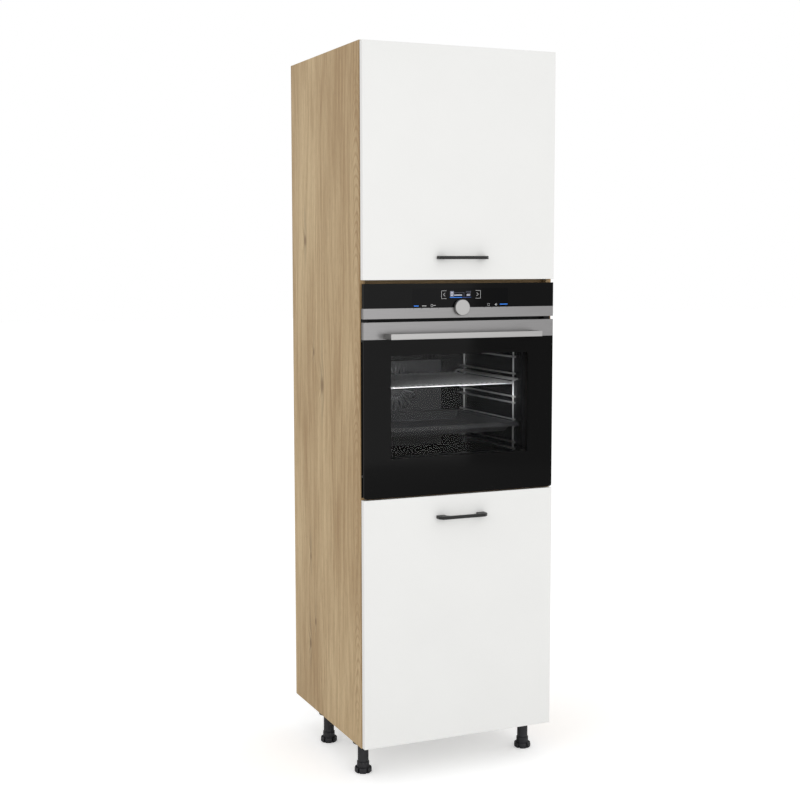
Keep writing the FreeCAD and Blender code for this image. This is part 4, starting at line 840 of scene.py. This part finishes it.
@dataclass
class OvenBody:
    """Casing, cavity and what hangs in it."""

    def build(self) -> None:
        """Dresses the oven's inside and back."""
        dress(GALVANISED, "oven_casing", "convection_fan", "fan_motor", "oven_hinge_arms")
        dress(BLACK_SHEET, "oven_front_frame", "control_housing")
        dress(ENAMEL, "oven_cavity")
        dress(GREY_ENAMEL, "fan_cover", "baking_tray")
        dress(SEAL_RUBBER, "door_seal")
        dress(HEATER, "grill_element", "ring_element")
        dress(WIRE_CHROME, "side_racks", "wire_shelf")
        dress(LAMP_GLASS, "oven_lamp")
        dress(BLACK_PLASTIC, "mains_inlet")
        dress(ZINC, "oven_fixing_screws")
        dress(BOARD_GREEN, "control_board")


@dataclass
class OvenDoor:
    """Drop-down door: printed glass, steel strip, bar handle, frame and inner glass."""

    def build(self) -> None:
        """Dresses the door."""
        dress(DOOR_GLASS, "oven_door_glass", ease=0.4)
        dress(OVEN_STEEL, "oven_door_strip", ease=0.4)
        dress(BAR_ALUMINIUM, "oven_door_handle", ease=0.8)
        dress(BLACK_SHEET, "oven_door_frame")
        dress(CLEAR_GLASS, "oven_door_inner_glass")


class Glow(Enum):
    """Colour of a lit sign, as its number in the display's list of finishes."""

    BLUE = 0
    DIM = 1
    PALE = 2
    GREY = 3


@dataclass(frozen=True)
class Bar:
    """Level line that stands for a short text: its ends, its height on the panel, its width and colour."""

    left: float
    right: float
    up: float
    width: float
    glow: Glow = Glow.BLUE


@dataclass(frozen=True)
class Readout:
    """Row of digits: what it says, its lower left corner, pitch, digit size, colour and gap in the middle."""

    signs: str
    left: float
    low: float
    pitch: float
    wide: float
    glow: Glow
    gap: float = 0.0
    tall: float = 4.4


@dataclass
class ControlPanel:
    """Fascia with its display, steel trim and round knob; an upright's values end with its line width."""

    face: float = -265.5
    proud: float = 0.12
    bracket: Edges = (46.0, 1371.0, 61.0, 1393.0)
    bracket_line: float = 0.9
    arrow_tips: Pair = (-55.8, 54.8)
    arrow_up: float = 1382.4
    arrow_long: float = 5.6
    arrow_half: float = 4.0
    arrow_line: float = 1.1
    stop: Edges = (-93.4, 1349.4, -88.0, 1355.4)
    stop_line: float = 1.0
    texts: tuple[Bar, ...] = (Bar(-85.6, -79.8, 1352.6, 1.5), Bar(-120.0, -114.6, 1351.6, 1.8),
                              Bar(-112.4, -108.4, 1351.6, 1.8))
    dial: Pair = (86.6, 1352.8)
    dial_radius: float = 3.5
    dial_line: float = 1.2
    play: Edges = (106.6, 1349.2, 111.6, 1356.4)
    play_bar: tuple[float, float, float, float] = (113.4, 1350.6, 1355.0, 0.8)
    lights: tuple[Bar, ...] = (
        Bar(-34.0, 2.4, 1374.2, 1.5), Bar(4.4, 30.6, 1374.0, 1.2, Glow.DIM), Bar(-144.6, -141.0, 1351.6, 2.0),
        Bar(-139.4, -136.4, 1351.6, 2.0), Bar(-134.6, -132.4, 1351.6, 2.0), Bar(124.2, 146.4, 1353.4, 2.0),
        Bar(-21.6, 8.4, 1387.2, 0.6, Glow.GREY), Bar(-20.6, -16.6, 1380.6, 1.6, Glow.PALE),
        Bar(-14.8, -9.6, 1380.6, 1.6, Glow.PALE), Bar(-7.8, -2.0, 1380.6, 1.6, Glow.PALE),
        Bar(-0.2, 1.8, 1380.6, 1.6, Glow.PALE))
    tile: Edges = (-34.4, 1376.2, -22.4, 1392.0)
    tile_sign: Edges = (-31.0, 1379.4, -26.0, 1388.8)
    tile_line: float = 0.8
    divider: tuple[float, float, float, float] = (9.2, 1376.0, 1387.2, 0.6)
    readouts: tuple[Readout, ...] = (Readout("1200", 13.2, 1386.8, 4.4, 2.4, Glow.GREY, gap=1.2),
                                     Readout("180", 15.6, 1378.6, 4.6, 2.6, Glow.PALE))
    digit_line: float = 0.6
    keys: tuple[float, ...] = (-147.0, -122.0, -96.0, -70.0, 73.0, 97.5, 120.5, 146.0)
    key_mark: Triple = (1343.6, 1345.4, 0.9)

    def line(self, shape: Shape, points: list[Pair], width: float, glow: Glow = Glow.BLUE) -> None:
        """Prints a line of constant width on the glass."""
        shape.stroke(points, width, self.face - self.proud, self.face, glow.value)

    def box(self, edges: Edges) -> list[Pair]:
        """Corners of a box, from its left, bottom, right and top."""
        left, low, right, high = edges
        return [(left, low), (left, high), (right, high), (right, low)]

    def bars(self, shape: Shape, bars: tuple[Bar, ...]) -> None:
        """Prints the level lines that stand for texts."""
        for bar in bars:
            self.line(shape, [(bar.left, bar.up), (bar.right, bar.up)], bar.width, bar.glow)

    def digit(self, shape: Shape, sign: str, left: float, row: Readout) -> None:
        """Draws a digit in seven strokes.

        Args:
            shape: the mesh that it joins.
            sign: the digit.
            left: its left edge.
            row: the row that it stands in.
        """
        right, middle, high = left + row.wide, row.low + row.tall / 2, row.low + row.tall
        strokes = {"a": ((left, high), (right, high)), "b": ((right, middle), (right, high)),
                   "c": ((right, row.low), (right, middle)), "d": ((left, row.low), (right, row.low)),
                   "e": ((left, row.low), (left, middle)), "f": ((left, middle), (left, high)),
                   "g": ((left, middle), (right, middle))}
        for letter in DIGIT_STROKES[sign]:
            self.line(shape, list(strokes[letter]), self.digit_line, row.glow)

    def icons(self) -> None:
        """Prints the white icons beside and under the display, all generic."""
        shape = Shape()
        inner, low, outer, high = self.bracket
        for side, tip in zip((-1, 1), self.arrow_tips):
            self.line(shape, [(side * inner, high), (side * outer, high), (side * outer, low),
                              (side * inner, low)], self.bracket_line)
            tail = tip - side * self.arrow_long
            self.line(shape, [(tail, self.arrow_up + self.arrow_half), (tip, self.arrow_up),
                              (tail, self.arrow_up - self.arrow_half)], self.arrow_line)
        stop = self.box(self.stop)
        self.line(shape, stop + stop[:1], self.stop_line)
        self.bars(shape, self.texts)
        across, up = self.dial
        turns = [math.radians(angle) for angle in range(30, 331, 30)]
        self.line(shape, [(across + self.dial_radius * math.cos(turn), up + self.dial_radius * math.sin(turn))
                          for turn in turns], self.dial_line)
        left, low, right, high = self.play
        shape.plate([(left, (low + high) / 2), (right, low), (right, high)], self.face - self.proud,
                    self.face)
        across, low, high, width = self.play_bar
        self.line(shape, [(across, low), (across, high)], width)
        shape.done("printed_icons", "housing", WHITE_PRINT)

    def display(self) -> None:
        """Lights the display's bars, tile, divider and digits, all generic."""
        shape = Shape()
        near = self.face - self.proud
        self.bars(shape, self.lights)
        shape.plate(self.box(self.tile), near, self.face, Glow.GREY.value)
        outline = self.box(self.tile_sign)
        shape.stroke(outline + outline[:1], self.tile_line, near - self.proud, near, Glow.PALE.value)
        across, low, high, width = self.divider
        self.line(shape, [(across, low), (across, high)], width, Glow.GREY)
        for row in self.readouts:
            for index, sign in enumerate(row.signs):
                self.digit(shape, sign, row.left + index * row.pitch + (row.gap if index > 1 else 0.0), row)
        shape.done("display_lights", "housing", BLUE_LIGHT, DIM_LIGHT, SCREEN_LIGHT, SCREEN_GREY)

    def touch_marks(self) -> None:
        """Marks the touch keys under the display."""
        shape = Shape()
        low, high, width = self.key_mark
        for across in self.keys:
            self.line(shape, [(across, low), (across, high)], width)
        shape.done("touch_key_marks", "housing", BLACK_INK)

    def build(self) -> None:
        """Dresses panel, trim and knob and adds the signs."""
        dress(PANEL_GLASS, "control_fascia", ease=0.4)
        dress(OVEN_STEEL, "control_trim", ease=0.4)
        dress(KNOB_ALUMINIUM, "control_knob", ease=0.7)
        self.icons()
        self.display()
        self.touch_marks()


# ---------------------------------------------------------------- studio

@dataclass(frozen=True)
class Lamp:
    """Rectangular soft light: its place, size and aim in metres, its power in watts."""

    name: str
    place: Triple
    size: Pair
    power: float
    aim: Triple = (0.0, 0.0, 1.1)

    def hang(self) -> None:
        """Adds the light, unseen by the camera itself."""
        light = bpy.data.lights.new(self.name, "AREA")
        light.shape = "RECTANGLE"
        light.size, light.size_y = self.size
        light.energy = self.power
        lamp = bpy.data.objects.new(self.name, light)
        lamp.location = self.place
        lamp.rotation_euler = (Vector(self.aim) - Vector(self.place)).to_track_quat("-Z", "Y").to_euler()
        lamp.visible_camera = False
        bpy.context.scene.collection.objects.link(lamp)


@dataclass
class Studio:
    """Pale floor, white surround, soft light and the photograph's viewpoint."""

    eye: Triple = (-1.7223, -3.7912, 1.4773)
    azimuth: float = 23.517
    elevation: float = -5.733
    roll: float = -0.077
    lens: float = 62.49
    sensor: float = 36.0
    sight: float = 100.0
    sky: float = 0.80
    paper: str = "f2f2f2"
    glow: float = 0.36
    reach: float = 30.0
    lamps: tuple[Lamp, ...] = (
        Lamp("key_light", (0.8, -6.0, 1.6), (4.0, 4.0), 66.0),
        Lamp("fill_light", (-3.6, -2.6, 2.4), (2.2, 2.2), 20.0),
        Lamp("cavity_light", (0.0, -0.215, 1.075), (0.38, 0.02), 0.5, (0.0, 0.05, 1.16)))

    def surround(self) -> None:
        """Makes the world: white to the camera, gloss and glass, and a softer grey as light."""
        world = bpy.data.worlds.new("studio_surround")
        world.use_nodes = True
        bpy.context.scene.world = world
        tree = world.node_tree
        tree.nodes.clear()
        path = add(tree, "LightPath")
        seen = add(tree, "Math", {0: path.outputs["Is Camera Ray"], 1: path.outputs["Is Glossy Ray"]},
                   operation="MAXIMUM")
        seen = add(tree, "Math", {0: seen, 1: path.outputs["Is Transmission Ray"]}, operation="MAXIMUM")
        strength = add(tree, "MapRange", {0: seen, 3: self.sky, 4: 1.0})
        light = add(tree, "Background", {"Color": linear("ffffff"), "Strength": strength})
        add(tree, "OutputWorld", {"Surface": light})

    def floor(self) -> None:
        """Lays a pale floor that fades into the white surround and keeps the shadow."""
        mesh = bpy.data.meshes.new("studio_floor")
        mesh.from_pydata([(-self.reach, -self.reach, 0), (self.reach, -self.reach, 0),
                          (self.reach, self.reach, 0), (-self.reach, self.reach, 0)], [], [(0, 1, 2, 3)])
        plane = bpy.data.objects.new("studio_floor", mesh)
        bpy.context.scene.collection.objects.link(plane)
        material = bpy.data.materials.new("studio_paper")
        material.use_nodes = True
        tree = material.node_tree
        tree.nodes.clear()
        path = add(tree, "LightPath")
        matt = add(tree, "BsdfDiffuse", {"Color": linear(self.paper)})
        glow = add(tree, "Emission", {"Color": linear("ffffff"), "Strength": self.glow})
        both = add(tree, "AddShader", {0: matt, 1: glow})
        mix = add(tree, "MixShader", {0: path.outputs["Is Camera Ray"], 1: matt, 2: both})
        add(tree, "OutputMaterial", {"Surface": mix})
        mesh.materials.append(material)

    def camera(self) -> None:
        """Sets the camera where the photograph was taken from."""
        data = bpy.data.cameras.new("photo_camera")
        data.lens = self.lens
        data.sensor_width = self.sensor
        data.clip_end = self.sight
        camera = bpy.data.objects.new("photo_camera", data)
        turn, rise = math.radians(self.azimuth), math.radians(self.elevation)
        look = Vector((math.sin(turn) * math.cos(rise), math.cos(turn) * math.cos(rise), math.sin(rise)))
        camera.location = self.eye
        tilt = Quaternion((0, 0, 1), math.radians(self.roll))
        camera.rotation_euler = (look.to_track_quat("-Z", "Y") @ tilt).to_euler()
        bpy.context.scene.collection.objects.link(camera)
        bpy.context.scene.camera = camera

    def build(self) -> None:
        """Sets up surround, floor, lamps, camera and view."""
        bpy.context.scene.view_settings.view_transform = "Standard"
        self.surround()
        self.floor()
        for lamp in self.lamps:
            lamp.hang()
        self.camera()


def main() -> None:
    """Builds the dressed unit in its studio."""
    logging.basicConfig(level=logging.INFO, format="%(name)s: %(message)s")
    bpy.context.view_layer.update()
    for assembly in (Carcass(), Legs(), CabinetFronts(), OvenBody(), OvenDoor(), ControlPanel(), Studio()):
        assembly.build()
        log.info("built %s", type(assembly).__name__)
    bare = [name for name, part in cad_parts.items() if "dressed" not in part]
    log.info("parts without a finish: %s", bare or "none")


if __name__ == "__main__":
    main()
